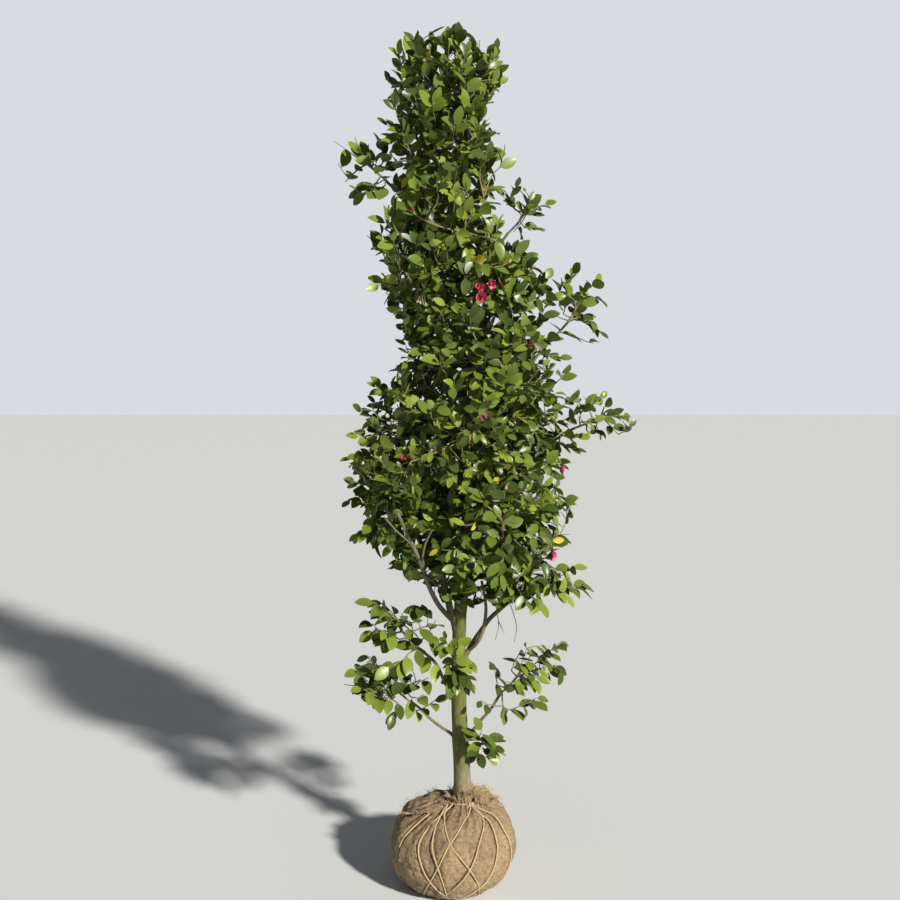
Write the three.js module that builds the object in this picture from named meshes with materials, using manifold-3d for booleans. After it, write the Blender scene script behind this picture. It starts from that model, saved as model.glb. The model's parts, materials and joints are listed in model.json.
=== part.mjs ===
// A camellia shrub about two metres tall, lifted from the ground and standing on its root ball,
// which is wrapped in jute cloth and laced with twine.
// Millimetres, +Z up. The origin is the middle of the root ball's flat underside.
// -Y is the side that faces the viewer, and +X is the viewer's right.

import * as THREE from "three";
import { ConvexGeometry } from "three/addons/geometries/ConvexGeometry.js";
import { mergeVertices } from "three/addons/utils/BufferGeometryUtils.js";
import Module from "manifold-3d";

const wasm = await Module();
wasm.setup();

const { Vector2, Vector3 } = THREE;
const UP = new Vector3(0, 0, 1);
const TAU = Math.PI * 2;
const GOLDEN_ANGLE = Math.PI * (3 - Math.sqrt(5));

// Space left between two pieces that touch on the real plant.
const SEAT_GAP = 0.3;

// Root ball: a squat ball of soil in jute, gathered into a short neck round the trunk.
// Radius and height of its outside, from the foot up to the neck's lip, then of the hole down to
// the seat under the trunk's flat cut.
const NECK_HEIGHT = 206;
const NECK_RADIUS = 48;
const BALL_OUTSIDE = [
  [104, 0],
  [133, 22],
  [151, 58],
  [154, 96],
  [143, 136],
  [112, 170],
  [74, 190],
  [NECK_RADIUS, NECK_HEIGHT],
  [40, 232],
];
const SEAT_HEIGHT = 196;
const BALL_HOLE = [
  [28, 232],
  [26, SEAT_HEIGHT],
];
const BALL_SIDES = 28;
const BALL_LUMP = 3.5;

// Twine laced over the ball from a ring round its neck, the same at the front and at the back.
// A strand is given by its bearing at the neck, at the girth and at the foot, in degrees.
const TWINE = { radius: 2.6, lift: 2.6, steps: 8, sides: 3, end: 0.9 };
const TWINE_STRANDS = [
  [-80, -99, -128],
  [-46, -68, -114],
  [-144, -81, -60],
  [-128, -121, -82],
  [-158, -146, -172],
  [-64, -41, -95],
];

// Trunk: places on its middle line, each with x, y, height and radius. It is cut flat just above
// its lowest place.
const TRUNK_STATIONS = [
  [27, 0, SEAT_HEIGHT - 2, 23.5],
  [26, 1, 262, 20.8],
  [18, 5, 450, 18.2],
  [19, 8, 640, 15.2],
  [43, 4, 950, 12.6],
  [50, -8, 1200, 9.8],
  [20, -2, 1440, 7.2],
  [-14, 6, 1650, 5.2],
  [-12, 2, 1760, 4.2],
];
const TRUNK_SIDES = 8;
const TRUNK_STEPS = 18;

// Crown outline: height, left edge, right edge and half depth of its cross-section.
const CROWN = [
  [690, -5, 120, 60],
  [760, -110, 312, 150],
  [860, -222, 288, 215],
  [1020, -262, 306, 235],
  [1190, -202, 292, 220],
  [1310, -124, 256, 180],
  [1480, -186, 220, 175],
  [1640, -192, 162, 160],
  [1800, -150, 120, 125],
  [1930, -152, 118, 115],
  [2005, -105, 92, 85],
  [2050, -25, 35, 22],
];

// Tiers of foliage that fill the crown: name, height of the middle, first bearing, and the masses
// round it in the order of their bearings.
const TIERS = [
  ["skirt", 785, 0, ["right", "left"]],
  ["lower", 940, 180, ["left", "front", "back"]],
  ["middle", 1130, 30, ["right", "left", "front"]],
  ["waist", 1310, 120, ["back", "front"]],
  ["upper", 1480, 30, ["right", "left"]],
  ["shoulder", 1640, 120, ["back", "front"]],
  ["high", 1800, 0, ["right", "left"]],
  ["top", 1945, 0, ["tip"]],
];
// How far out of the crown's middle line a tier's masses have their own middles.
const TIER_SPREAD = 0.52;
// How far below its middle a mass leaves the trunk, and how much lower than its neighbour.
const STEM_RISE = 58;
const STEM_STAGGER = 24;

// Sprays that stand out of the crown or grow below it: middle and half sizes.
const SPRAYS = {
  spray_left_upper: { middle: [-128, -15, 650], half: [112, 85, 66] },
  spray_left_lower: { middle: [-158, 10, 500], half: [112, 85, 72] },
  spray_right: { middle: [172, -5, 540], half: [112, 80, 84] },
  trunk_tuft: { middle: [78, -42, 364], half: [54, 52, 52] },
  trunk_sprout: { middle: [18, -62, 575], half: [52, 48, 76] },
  sprig_right_high: { middle: [286, 10, 1395], half: [84, 66, 128] },
  sprig_right_middle: { middle: [352, -20, 1160], half: [96, 62, 62] },
  sprig_right_top: { middle: [168, -5, 1625], half: [66, 60, 84] },
  sprig_left_top: { middle: [-196, 0, 1742], half: [76, 60, 76] },
};

// Boughs: the mass each carries, its height on the trunk, its radius there and at its end,
// and how far its middle is pushed outwards.
const BOUGHS = {
  bough_lower_left: { mass: "lower_left", from: 625, radius: 9.5, end: 6, push: -6 },
  bough_skirt_right: { mass: "skirt_right", from: 540, radius: 7.5, end: 4.5, push: -22 },
  bough_lower_back: { mass: "lower_back", from: 690, radius: 8, end: 5, push: 0 },
  bough_lower_front: { mass: "lower_front", from: 720, radius: 8, end: 5, push: 0 },
  bough_middle_right: { mass: "middle_right", from: 790, radius: 8, end: 5, push: 0 },
  bough_middle_left: { mass: "middle_left", from: 860, radius: 7, end: 4.5, push: 0 },
  bough_waist_front: { mass: "waist_front", from: 1030, radius: 6.5, end: 4.5, push: 0 },
  bough_upper_right: { mass: "upper_right", from: 1190, radius: 6.5, end: 4, push: 0 },
  bough_upper_left: { mass: "upper_left", from: 1230, radius: 6, end: 4, push: 0 },
  bough_shoulder_front: { mass: "shoulder_front", from: 1420, radius: 5, end: 3.6, push: 0 },
  branch_left_upper: { mass: "spray_left_upper", from: 448, radius: 4.6, end: 3.2, push: -8 },
  branch_left_lower: { mass: "spray_left_lower", from: 345, radius: 4, end: 3, push: -6 },
  branch_right: { mass: "spray_right", from: 352, radius: 4.4, end: 3.2, push: 6 },
  branch_right_high: { mass: "sprig_right_high", from: 1130, radius: 5, end: 3.2, push: 12 },
  branch_right_middle: { mass: "sprig_right_middle", from: 1010, radius: 5, end: 3.2, push: 6 },
  branch_right_top: { mass: "sprig_right_top", from: 1450, radius: 4, end: 3, push: 4 },
  branch_left_top: { mass: "sprig_left_top", from: 1560, radius: 3.8, end: 3, push: 4 },
};
const BOUGH_SIDES = 5;
const BOUGH_STEPS = 4;

// Blossoms: x and height of each, on the front of the crown and on its back.
const FRONT_BLOSSOMS = [
  [-95, 1622],
  [62, 1455],
  [90, 1462],
  [185, 1330],
  [75, 1170],
  [258, 1045],
  [240, 845],
  [108, 950],
];
const BACK_BLOSSOMS = [
  [-60, 1540],
  [120, 1250],
  [-130, 1000],
  [60, 860],
];
const BLOSSOM_RADIUS = 19;

// Foliage: leaves and twigs are fewer and larger than on the living plant.
const LEAF = { length: 118, width: 68, thickness: 2.2, perTwig: 8, apart: 12, tries: 40 };
// A mass has full-sized leaves where its space reaches this far, and smaller ones where less far.
const FULL_LEAF_REACH = 135;
const LEAST_LEAF_SCALE = 0.5;
const TWIG = { radius: 3, end: 2, collar: 9, stem: 5 };
// A mass has one tip for so many litres of its space.
const LITRES_PER_TIP = 2;
const FEWEST_TIPS = 3;
// Room kept clear round limbs, round other twigs and between masses.
const LIMB_CLEARANCE = 6;
const TWIG_CLEARANCE = 5;
const MASS_CLEARANCE = 1.2;

const paint = (name, colour, roughness) =>
  new THREE.MeshStandardMaterial({ name, color: colour, roughness, metalness: 0 });
const MATERIALS = {
  jute: paint("jute", 0xb3935f, 0.95),
  twine: paint("twine", 0xcbb07a, 0.9),
  bark: paint("bark", 0x8d8758, 0.85),
  branchBark: paint("branch_bark", 0x9c8a68, 0.85),
  foliage: paint("foliage", 0x3f6a1c, 0.4),
};

// Numbers between 0 and 1 that depend on the seed alone.
function seeded(seed) {
  let state = (seed * 2654435761) >>> 0;
  return () => {
    state = (Math.imul(state, 1664525) + 1013904223) >>> 0;
    return state / 4294967296;
  };
}

const mix = (a, b, share) => a + (b - a) * share;

// The row of a table at a height, with its numbers mixed from the rows above and below.
function rowAt(table, height, column = 0) {
  const above = table.findIndex((row) => row[column] > height);
  if (above <= 0) return above ? table.at(-1) : table[0];
  const [low, high] = [table[above - 1], table[above]];
  const share = (height - low[column]) / (high[column] - low[column]);
  return low.map((value, i) => mix(value, high[i], share));
}

// A limb is a middle line cut into steps: points, and the radius at each.
function limbAlong(curve, radiusAt, steps) {
  const points = curve.getSpacedPoints(steps);
  return { points, radii: points.map(radiusAt) };
}

function trunkLimb() {
  const curve = new THREE.CatmullRomCurve3(TRUNK_STATIONS.map(([x, y, z]) => new Vector3(x, y, z)));
  return limbAlong(curve, (p) => rowAt(TRUNK_STATIONS, p.z, 2)[3], TRUNK_STEPS);
}

// The direction of a limb at one of its points.
function alongLimb({ points }, i) {
  const before = points[Math.max(i - 1, 0)];
  const after = points[Math.min(i + 1, points.length - 1)];
  return after.clone().sub(before).normalize();
}

// The place on the trunk's middle line at a height, and the radius there.
function onTrunk(trunk, height) {
  const above = trunk.points.findIndex((p) => p.z > height);
  const [low, high] = [trunk.points[above - 1], trunk.points[above]];
  const place = low.clone().lerp(high, (height - low.z) / (high.z - low.z));
  return { place, radius: rowAt(TRUNK_STATIONS, height, 2)[3] };
}

// A tube that follows a limb's middle line, closed at both ends.
function tubeGeometry(limb, sides) {
  const { points, radii } = limb;
  const steps = points.length - 1;
  const tube = new THREE.CylinderGeometry(1, 1, 1, sides, steps);
  const side = Math.abs(alongLimb(limb, 0).y) < 0.9 ? new Vector3(0, 1, 0) : new Vector3(1, 0, 0);
  const place = tube.attributes.position;
  for (let i = 0; i < place.count; i++) {
    const ring = Math.round((place.getY(i) + 0.5) * steps);
    const along = alongLimb(limb, ring);
    const across = side.clone().cross(along).normalize();
    const through = along.clone().cross(across);
    const p = points[ring].clone();
    p.addScaledVector(across, place.getX(i) * radii[ring]);
    p.addScaledVector(through, place.getZ(i) * radii[ring] * -1);
    place.setXYZ(i, p.x, p.y, p.z);
  }
  return tube;
}

// The room that a limb and the gap round it take up.
const ROOM_MARGIN = 0.05;
function roomOf(limb, sides) {
  const gap = SEAT_GAP + ROOM_MARGIN;
  const last = limb.points.length - 1;
  const points = limb.points.map((p) => p.clone());
  points[0].addScaledVector(alongLimb(limb, 0), -gap);
  points[last].addScaledVector(alongLimb(limb, last), gap);
  return solidOf(tubeGeometry({ points, radii: limb.radii.map((radius) => radius + gap) }, sides));
}

// Closed solids from geometries, and back again.
function solidOf(geometry) {
  const bare = geometry.clone();
  bare.deleteAttribute("normal");
  bare.deleteAttribute("uv");
  const merged = mergeVertices(bare, 1e-4);
  const made = new wasm.Manifold(
    new wasm.Mesh({
      numProp: 3,
      vertProperties: merged.attributes.position.array,
      triVerts: new Uint32Array(merged.index.array),
    }),
  );
  if (made.volume() < 0) throw new Error("a piece is inside out");
  return made;
}

function geometryOf(solid) {
  const { numProp, numVert, vertProperties, triVerts } = solid.getMesh();
  const place = new Float32Array(numVert * 3);
  for (let i = 0; i < numVert; i++) {
    place.set(vertProperties.subarray(i * numProp, i * numProp + 3), i * 3);
  }
  const geometry = new THREE.BufferGeometry();
  geometry.setAttribute("position", new THREE.BufferAttribute(place, 3));
  geometry.setIndex(new THREE.BufferAttribute(triVerts, 1));
  geometry.computeVertexNormals();
  return geometry;
}

// All pieces as one, without any scrap that hangs loose.
function joined(solids) {
  const parts = solids.reduce((whole, piece) => whole.add(piece)).decompose();
  return parts.reduce((best, part) => (part.volume() > best.volume() ? part : best));
}

// The crown's cross-section at a height: its middle and half sizes.
function crownSection(z) {
  const [, left, right, depth] = rowAt(CROWN, z);
  return { x: (left + right) / 2, across: (right - left) / 2, depth };
}

function insideCrown(p) {
  if (p.z < CROWN[0][0] || p.z > CROWN.at(-1)[0]) return false;
  const { x, across, depth } = crownSection(p.z);
  return Math.hypot((p.x - x) / across, p.y / depth) <= 1;
}

function insideSpray({ middle, half }, p) {
  return p.clone().sub(middle).divide(half).length() <= 1;
}

// Every mass of foliage: its name, its middle, the test of its outer shape, and its stem's rise.
function allMasses() {
  const masses = [];
  for (const [tier, z, first, sides] of TIERS) {
    const { x, across, depth } = crownSection(z);
    const spread = sides.length > 1 ? TIER_SPREAD : 0;
    sides.forEach((side, i) => {
      const bearing = THREE.MathUtils.degToRad(first + (360 / sides.length) * i);
      const middle = new Vector3(Math.cos(bearing) * across, Math.sin(bearing) * depth, 0)
        .multiplyScalar(spread)
        .add(new Vector3(x, 0, z));
      const stem = { rise: STEM_RISE, lower: STEM_STAGGER * i };
      masses.push({ name: `${tier}_${side}`, middle, inOutline: insideCrown, ...stem });
    });
  }
  for (const [name, spray] of Object.entries(SPRAYS)) {
    const shape = { middle: new Vector3(...spray.middle), half: new Vector3(...spray.half) };
    const inOutline = (p) => insideSpray(shape, p);
    const stem = { rise: shape.half.z * 0.5, lower: 0 };
    masses.push({ name, middle: shape.middle, inOutline, ...stem });
  }
  return masses;
}

// A mass keeps to the points that lie nearer to its own middle than to any other's.
function inSpace(mass, masses, p, clearance = MASS_CLEARANCE) {
  if (!mass.inOutline(p)) return false;
  const own = p.distanceToSquared(mass.middle);
  return masses.every((other) => {
    if (other === mass) return true;
    const apart = 2 * mass.middle.distanceTo(other.middle);
    return (p.distanceToSquared(other.middle) - own) / apart > clearance;
  });
}

// How far the mass's space reaches from its middle in a direction.
const REACH_STEP = 4;
function reachOf(mass, masses, direction) {
  const p = mass.middle.clone();
  let reach = 0;
  while (inSpace(mass, masses, p.addScaledVector(direction, REACH_STEP))) reach += REACH_STEP;
  return reach;
}

// How far a point is from a limb's surface.
const line = new THREE.Line3();
const nearest = new Vector3();
function fromLimb({ points, radii }, p) {
  let least = Infinity;
  for (let i = 1; i < points.length; i++) {
    line.set(points[i - 1], points[i]);
    const share = line.closestPointToPointParameter(p, true);
    line.at(share, nearest);
    least = Math.min(least, nearest.distanceTo(p) - mix(radii[i - 1], radii[i], share));
  }
  return least;
}

// True where the straight line from a to b keeps clear of every limb.
const CHECK_STEP = 8;
function isClear(a, b, limbs, clearance) {
  const steps = Math.max(1, Math.ceil(a.distanceTo(b) / CHECK_STEP));
  for (let i = 0; i <= steps; i++) {
    const p = a.clone().lerp(b, i / steps);
    if (limbs.some((limb) => fromLimb(limb, p) < clearance)) return false;
  }
  return true;
}

// An even spread of directions over a sphere.
function spreadOf(count, turn) {
  return Array.from({ length: count }, (_, i) => {
    const z = 1 - (2 * i + 1) / count;
    const flat = Math.sqrt(1 - z * z);
    const bearing = GOLDEN_ANGLE * i + turn;
    return new Vector3(flat * Math.cos(bearing), flat * Math.sin(bearing), z);
  });
}

// A bough leaves the trunk, arches a little, and ends where it enters the space of its mass.
const BOUGH_ENTRY = 14;
function boughLimb(bough, trunk, mass, masses) {
  const start = onTrunk(trunk, bough.from).place;
  const towards = start.clone().sub(mass.middle);
  const far = towards.length();
  towards.normalize();
  const entry = Math.min(reachOf(mass, masses, towards) - BOUGH_ENTRY, far * 0.6);
  const end = mass.middle.clone().addScaledVector(towards, entry);
  const outward = new Vector3(end.x - start.x, end.y - start.y, 0).normalize();
  const bend = start.clone().lerp(end, 0.5).addScaledVector(outward, bough.push);
  bend.z -= bough.push;
  const curve = new THREE.QuadraticBezierCurve3(start, bend, end);
  return limbAlong(curve, (_, i) => mix(bough.radius, bough.end, i / BOUGH_STEPS), BOUGH_STEPS);
}

// Where the stem of a mass starts: at its bough's end, on the trunk or at the trunk's tip.
function stemFoot(mass, trunk) {
  const tipOf = (limb) => ({ place: limb.points.at(-1), radius: limb.radii.at(-1) });
  if (mass.bough) return tipOf(mass.bough);
  const top = trunk.points.at(-1).z;
  const height = Math.min(mass.middle.z - mass.rise, top) - mass.lower;
  return height < top ? onTrunk(trunk, height) : tipOf(trunk);
}

// The stem of a mass runs from there to its middle.
const STEM_SHARE = 0.8;
function stemLimb(mass, trunk) {
  const foot = stemFoot(mass, trunk);
  const radius = Math.min(TWIG.stem, foot.radius * STEM_SHARE);
  return { points: [foot.place, mass.middle], radii: [radius, TWIG.radius] };
}

// A twig is a point at its foot, which is sunk in its parent, and full a little way out.
function twigLimb(from, to) {
  const collar = Math.min(TWIG.collar, from.distanceTo(to) * 0.4);
  const out = to.clone().sub(from).setLength(collar).add(from);
  return { points: [from, out, to], radii: [0, TWIG.radius, TWIG.end] };
}

// A direction square to another one.
function sideOf(along) {
  const from = Math.abs(along.z) < 0.9 ? UP : new Vector3(1, 0, 0);
  return from.clone().cross(along).normalize();
}

// A straight limb, three-sided.
function twigSolid(limb) {
  const along = alongLimb(limb, 1);
  const across = sideOf(along);
  const corners = limb.points.flatMap((p, i) => {
    const ring = [0, TAU / 3, (TAU * 2) / 3].map((turn) =>
      across.clone().applyAxisAngle(along, turn).multiplyScalar(limb.radii[i]).add(p),
    );
    return limb.radii[i] ? ring : [p];
  });
  return solidOf(new ConvexGeometry(corners));
}

// Seeds a mass, and sizes its leaves and counts its tips by how far its space reaches on average.
const RAYS = 40;
function measureMass(mass, masses, seed) {
  const cubes = spreadOf(RAYS, 0).map((direction) => reachOf(mass, masses, direction) ** 3);
  const cube = cubes.reduce((sum, one) => sum + one) / RAYS;
  const litres = (4 / 3) * Math.PI * cube * 1e-6;
  mass.seed = seed;
  mass.leafScale = THREE.MathUtils.clamp(Math.cbrt(cube) / FULL_LEAF_REACH, LEAST_LEAF_SCALE, 1);
  mass.tips = Math.max(FEWEST_TIPS, Math.round(litres / (LITRES_PER_TIP * mass.leafScale ** 2)));
}

// Places spread through a mass's space, nearest to its stem's foot first.
const TARGET_INSET = 0.3;
function targetsOf(mass, masses, random) {
  const inset = LEAF.length * mass.leafScale * TARGET_INSET;
  const targets = spreadOf(mass.tips, random() * TAU).map((direction) => {
    const reach = reachOf(mass, masses, direction);
    const out = Math.max(reach - inset, reach * 0.3) * mix(0.8, 1, random());
    return { place: mass.middle.clone().addScaledVector(direction, out) };
  });
  targets.push(...mass.blossoms.map((place) => ({ place, blossom: true })));
  const [foot] = mass.stem.points;
  return targets.sort((a, b) => a.place.distanceTo(foot) - b.place.distanceTo(foot));
}

// Forks are the places on a limb that a twig can leave from, each once.
function forksOn(limb, shares, way) {
  const [from, to] = [limb.points[0], limb.points.at(-1)];
  return shares.map((share) => ({
    limb,
    place: from.clone().lerp(to, share),
    way: way + from.distanceTo(to) * share,
  }));
}

// Grows a mass: each place to reach is joined to the free fork that leaves the shortest way, so
// twigs fork as they go out. A place that no fork can reach in the clear is left out.
const STEM_FORKS = [0.4, 0.52, 0.64, 0.76, 0.88, 0.97];
const TWIG_FORKS = [0.45, 0.7, 0.94];
const FORK_COST = 0.3;
const FORK_TURN = [0.3, 1.9];
function growTwigs(mass, masses, limbs, random) {
  const twigs = [mass.stem];
  const forks = forksOn(mass.stem, STEM_FORKS, 0);
  for (const { place, blossom } of targetsOf(mass, masses, random)) {
    const costOf = (fork) => fork.place.distanceTo(place) + FORK_COST * fork.way;
    const fork = forks
      .filter((one) => !one.taken)
      .sort((a, b) => costOf(a) - costOf(b))
      .find((one) => {
        const turn = alongLimb(one.limb, 1).angleTo(place.clone().sub(one.place));
        if (turn < FORK_TURN[0] || turn > FORK_TURN[1]) return false;
        const others = twigs.filter((twig) => twig !== one.limb);
        return (
          isClear(one.place, place, limbs, TWIG.radius + LIMB_CLEARANCE) &&
          isClear(one.place, place, others, TWIG.radius + TWIG_CLEARANCE)
        );
      });
    if (!fork || fork.place.distanceTo(place) < LEAF.apart) continue;
    fork.taken = true;
    const twig = twigLimb(fork.place, place);
    twig.blossom = blossom;
    twigs.push(twig);
    forks.push(...forksOn(twig, TWIG_FORKS, fork.way));
  }
  return twigs;
}

// A leaf is thin and six-cornered, with its rib as a keel from foot to tip and its sides raised.
// It is given by its foot, its direction, the way it faces and its scale.
const LEAF_SHOULDERS = { at: 0.36, wide: 1 };
const LEAF_CHEEKS = { at: 0.72, wide: 0.8 };
function leafCorners({ foot, along, face, scale }) {
  const across = along.clone().cross(face);
  const side = ({ at, wide }, sign) =>
    foot
      .clone()
      .addScaledVector(along, LEAF.length * scale * at)
      .addScaledVector(across, ((LEAF.width * scale * wide) / 2) * sign)
      .addScaledVector(face, LEAF.thickness * scale);
  const tip = foot.clone().addScaledVector(along, LEAF.length * scale);
  return [
    foot,
    side(LEAF_SHOULDERS, -1),
    side(LEAF_CHEEKS, -1),
    tip,
    side(LEAF_CHEEKS, 1),
    side(LEAF_SHOULDERS, 1),
  ];
}

// True where a leaf stays in its mass's space, clear of limbs and of twigs other than its own.
const LEAF_CLEARANCE = 1.5;
function leafFits(corners, mass, masses, limbs, twigs) {
  if (!corners.slice(1).every((p) => inSpace(mass, masses, p))) return false;
  const [foot, left, , tip, , right] = corners;
  const lines = corners.map((corner, i) => [corner, corners[(i + 1) % corners.length]]);
  lines.push([foot, tip], [left, right]);
  return lines.every(
    ([a, b]) => isClear(a, b, limbs, LIMB_CLEARANCE) && isClear(a, b, twigs, LEAF_CLEARANCE),
  );
}

// Leaves stand one after another round a twig's outer part, and look up or outwards.
const LEAF_SPLAY = 0.95;
const LEAF_UPWARD = 0.3;
function leavesOn(twig, mass, masses, limbs, twigs, random, placed) {
  const [from, to] = [twig.points[0], twig.points.at(-1)];
  const twigAlong = alongLimb(twig, 1);
  const side = sideOf(twigAlong);
  const outward = to.clone().sub(mass.middle).normalize().lerp(UP, LEAF_UPWARD).normalize();
  const apart = LEAF.apart * mass.leafScale;
  const others = twigs.filter((other) => other !== twig);
  const leaves = [];
  for (let i = 0; i < LEAF.perTwig && (i + 1) * apart < from.distanceTo(to); i++) {
    for (let attempt = 0; attempt < LEAF.tries; attempt++) {
      const turn = GOLDEN_ANGLE * i + TAU * random();
      const splay = LEAF_SPLAY * (i ? mix(0.6, 1.3, random()) : mix(0.1, 0.9, random()));
      const lean = side.clone().applyAxisAngle(twigAlong, turn);
      const along = twigAlong.clone().multiplyScalar(Math.cos(splay)).addScaledVector(lean, Math.sin(splay));
      const face = outward.clone().add(new Vector3(random() - 0.5, random() - 0.5, random() - 0.5));
      face.addScaledVector(along, -along.dot(face)).normalize();
      const foot = to.clone().addScaledVector(twigAlong, -apart * (i + 0.4));
      const corners = leafCorners({ foot, along, face, scale: mass.leafScale });
      if (!leafFits(corners, mass, masses, limbs, others)) continue;
      const leaf = solidOf(new ConvexGeometry(corners));
      if ([...placed, ...leaves].some((other) => leaf.intersect(other).volume() > 0)) continue;
      leaves.push(leaf);
      break;
    }
  }
  return leaves;
}

function blossomSolid(place) {
  const blossom = new THREE.IcosahedronGeometry(BLOSSOM_RADIUS, 0);
  blossom.scale(1, 0.8, 0.9).translate(place.x, place.y, place.z);
  return solidOf(blossom);
}

function massSolid(mass, masses, limbs, limbRooms) {
  const random = seeded(mass.seed);
  const twigs = growTwigs(mass, masses, limbs, random);
  const pieces = twigs.map(twigSolid);
  for (const room of limbRooms) pieces[0] = pieces[0].subtract(room);
  for (const { blossom, points } of twigs) {
    if (blossom) pieces.push(blossomSolid(points.at(-1)));
  }
  const leaves = [];
  for (const twig of twigs) {
    leaves.push(...leavesOn(twig, mass, masses, limbs, twigs, random, leaves));
  }
  return joined([...pieces, ...leaves]);
}

// Blossoms sit just inside the crown's front or back, in the mass whose space holds them.
const BLOSSOM_INSET = 0.88;
function shareOutBlossoms(masses) {
  const place = ([x, z], side) => {
    const section = crownSection(z);
    const across = (x - section.x) / section.across;
    return new Vector3(x, side * section.depth * Math.sqrt(1 - across * across) * BLOSSOM_INSET, z);
  };
  const places = [
    ...FRONT_BLOSSOMS.map((spot) => place(spot, -1)),
    ...BACK_BLOSSOMS.map((spot) => place(spot, 1)),
  ];
  for (const mass of masses) {
    mass.blossoms = places.filter((p) => inSpace(mass, masses, p, BLOSSOM_RADIUS));
  }
}

// Moves a point of the plain turned ball to its place: lumps round the girth, and the neck
// drawn over to the trunk's foot.
function settleOnBall(p) {
  const height = Math.min(p.z / NECK_HEIGHT, 1);
  const bearing = Math.atan2(p.y, p.x);
  const lumps = Math.sin(3 * bearing + 1.1) + 0.7 * Math.sin(5 * bearing + 4 * height);
  const swell = BALL_LUMP * lumps * Math.sin(Math.PI * height) ** 2;
  const radius = Math.hypot(p.x, p.y);
  const out = radius > BALL_HOLE[0][0] ? (radius + swell) / radius : 1;
  const draw = THREE.MathUtils.smoothstep(p.z, BALL_OUTSIDE[4][1], NECK_HEIGHT);
  return p.set(p.x * out + TRUNK_STATIONS[0][0] * draw, p.y * out, p.z);
}

function rootBall() {
  const profile = [[0, 0], ...BALL_OUTSIDE, ...BALL_HOLE, [0, SEAT_HEIGHT]];
  const ball = new THREE.LatheGeometry(profile.map(([radius, z]) => new Vector2(radius, z)), BALL_SIDES);
  ball.rotateX(Math.PI / 2);
  const place = ball.attributes.position;
  const p = new Vector3();
  for (let i = 0; i < place.count; i++) {
    settleOnBall(p.fromBufferAttribute(place, i));
    place.setXYZ(i, p.x, p.y, p.z);
  }
  return ball;
}

// One strand of twine, laid on the jute from the neck's ring down to the foot.
function strandLimb([neck, girth, foot], turn) {
  const outside = BALL_OUTSIDE.filter(([, z]) => z <= NECK_HEIGHT).reverse();
  const profile = new THREE.SplineCurve(outside.map(([radius, z]) => new Vector2(radius, z)));
  const bearings = new THREE.QuadraticBezierCurve(
    new Vector2(neck, 0),
    new Vector2(2 * girth - (neck + foot) / 2, 0.5),
    new Vector2(foot, 1),
  );
  const points = Array.from({ length: TWINE.steps + 1 }, (_, i) => {
    const share = (i / TWINE.steps) * TWINE.end;
    const bearing = THREE.MathUtils.degToRad(bearings.getPoint(share).x + turn);
    const at = (radius, z) => new Vector3(radius * Math.cos(bearing), radius * Math.sin(bearing), z);
    const flat = profile.getPointAt(share);
    const along = profile.getTangentAt(share);
    return settleOnBall(at(flat.x, flat.y)).addScaledVector(at(-along.y, along.x), TWINE.radius + TWINE.lift);
  });
  return { points, radii: points.map(() => TWINE.radius) };
}

const RING_THICKNESS = 1.2;
function ballTwine() {
  const strands = [0, 180].flatMap((turn) => TWINE_STRANDS.map((strand) => strandLimb(strand, turn)));
  const ringRadius = TWINE.radius * RING_THICKNESS;
  const ring = new THREE.TorusGeometry(NECK_RADIUS + SEAT_GAP + ringRadius, ringRadius, 5, 20);
  ring.translate(TRUNK_STATIONS[0][0], 0, NECK_HEIGHT + TWINE.radius);
  return joined([solidOf(ring), ...strands.map((strand) => solidOf(tubeGeometry(strand, TWINE.sides)))]);
}

function mesh(name, geometry, material) {
  const made = new THREE.Mesh(geometry, material);
  made.name = name;
  return made;
}

function camellia() {
  const plant = new THREE.Group();
  const trunk = trunkLimb();
  const trunkRoom = roomOf(trunk, TRUNK_SIDES);
  const masses = allMasses();
  masses.forEach((mass, i) => measureMass(mass, masses, i + 1));
  shareOutBlossoms(masses);

  plant.add(mesh("root_ball", rootBall(), MATERIALS.jute));
  plant.add(mesh("ball_twine", geometryOf(ballTwine()), MATERIALS.twine));
  const rounded = solidOf(tubeGeometry(trunk, TRUNK_SIDES));
  const cutFlat = rounded.trimByPlane(UP.toArray(), SEAT_HEIGHT + SEAT_GAP);
  plant.add(mesh("trunk", geometryOf(cutFlat), MATERIALS.bark));

  const limbRooms = [trunkRoom];
  const limbs = [trunk];
  for (const [name, bough] of Object.entries(BOUGHS)) {
    const mass = masses.find((one) => one.name === bough.mass);
    mass.bough = boughLimb(bough, trunk, mass, masses);
    limbs.push(mass.bough);
    limbRooms.push(roomOf(mass.bough, BOUGH_SIDES));
    const solid = joined([solidOf(tubeGeometry(mass.bough, BOUGH_SIDES)).subtract(trunkRoom)]);
    plant.add(mesh(name, geometryOf(solid), MATERIALS.branchBark));
  }

  for (const mass of masses) mass.stem = stemLimb(mass, trunk);
  for (const mass of masses) {
    const otherStems = masses.filter((other) => other !== mass).map((other) => other.stem);
    const solid = massSolid(mass, masses, [...limbs, ...otherStems], limbRooms);
    plant.add(mesh(mass.name, geometryOf(solid), MATERIALS.foliage));
  }
  return plant;
}

export default camellia();
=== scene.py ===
# %% [markdown]
# # A camellia shrub on its root ball
# This shrub is about two metres tall. It has been lifted from the ground with its soil, and the
# soil is wrapped in jute cloth that twine holds together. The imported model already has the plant
# in simple solids, so this lesson keeps its sizes and replaces each solid with a finer piece.
# The measures below are in millimetres, as a nursery would write them, and every mesh is made in
# metres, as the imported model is.

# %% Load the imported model
import json
import math
from types import SimpleNamespace

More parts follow.
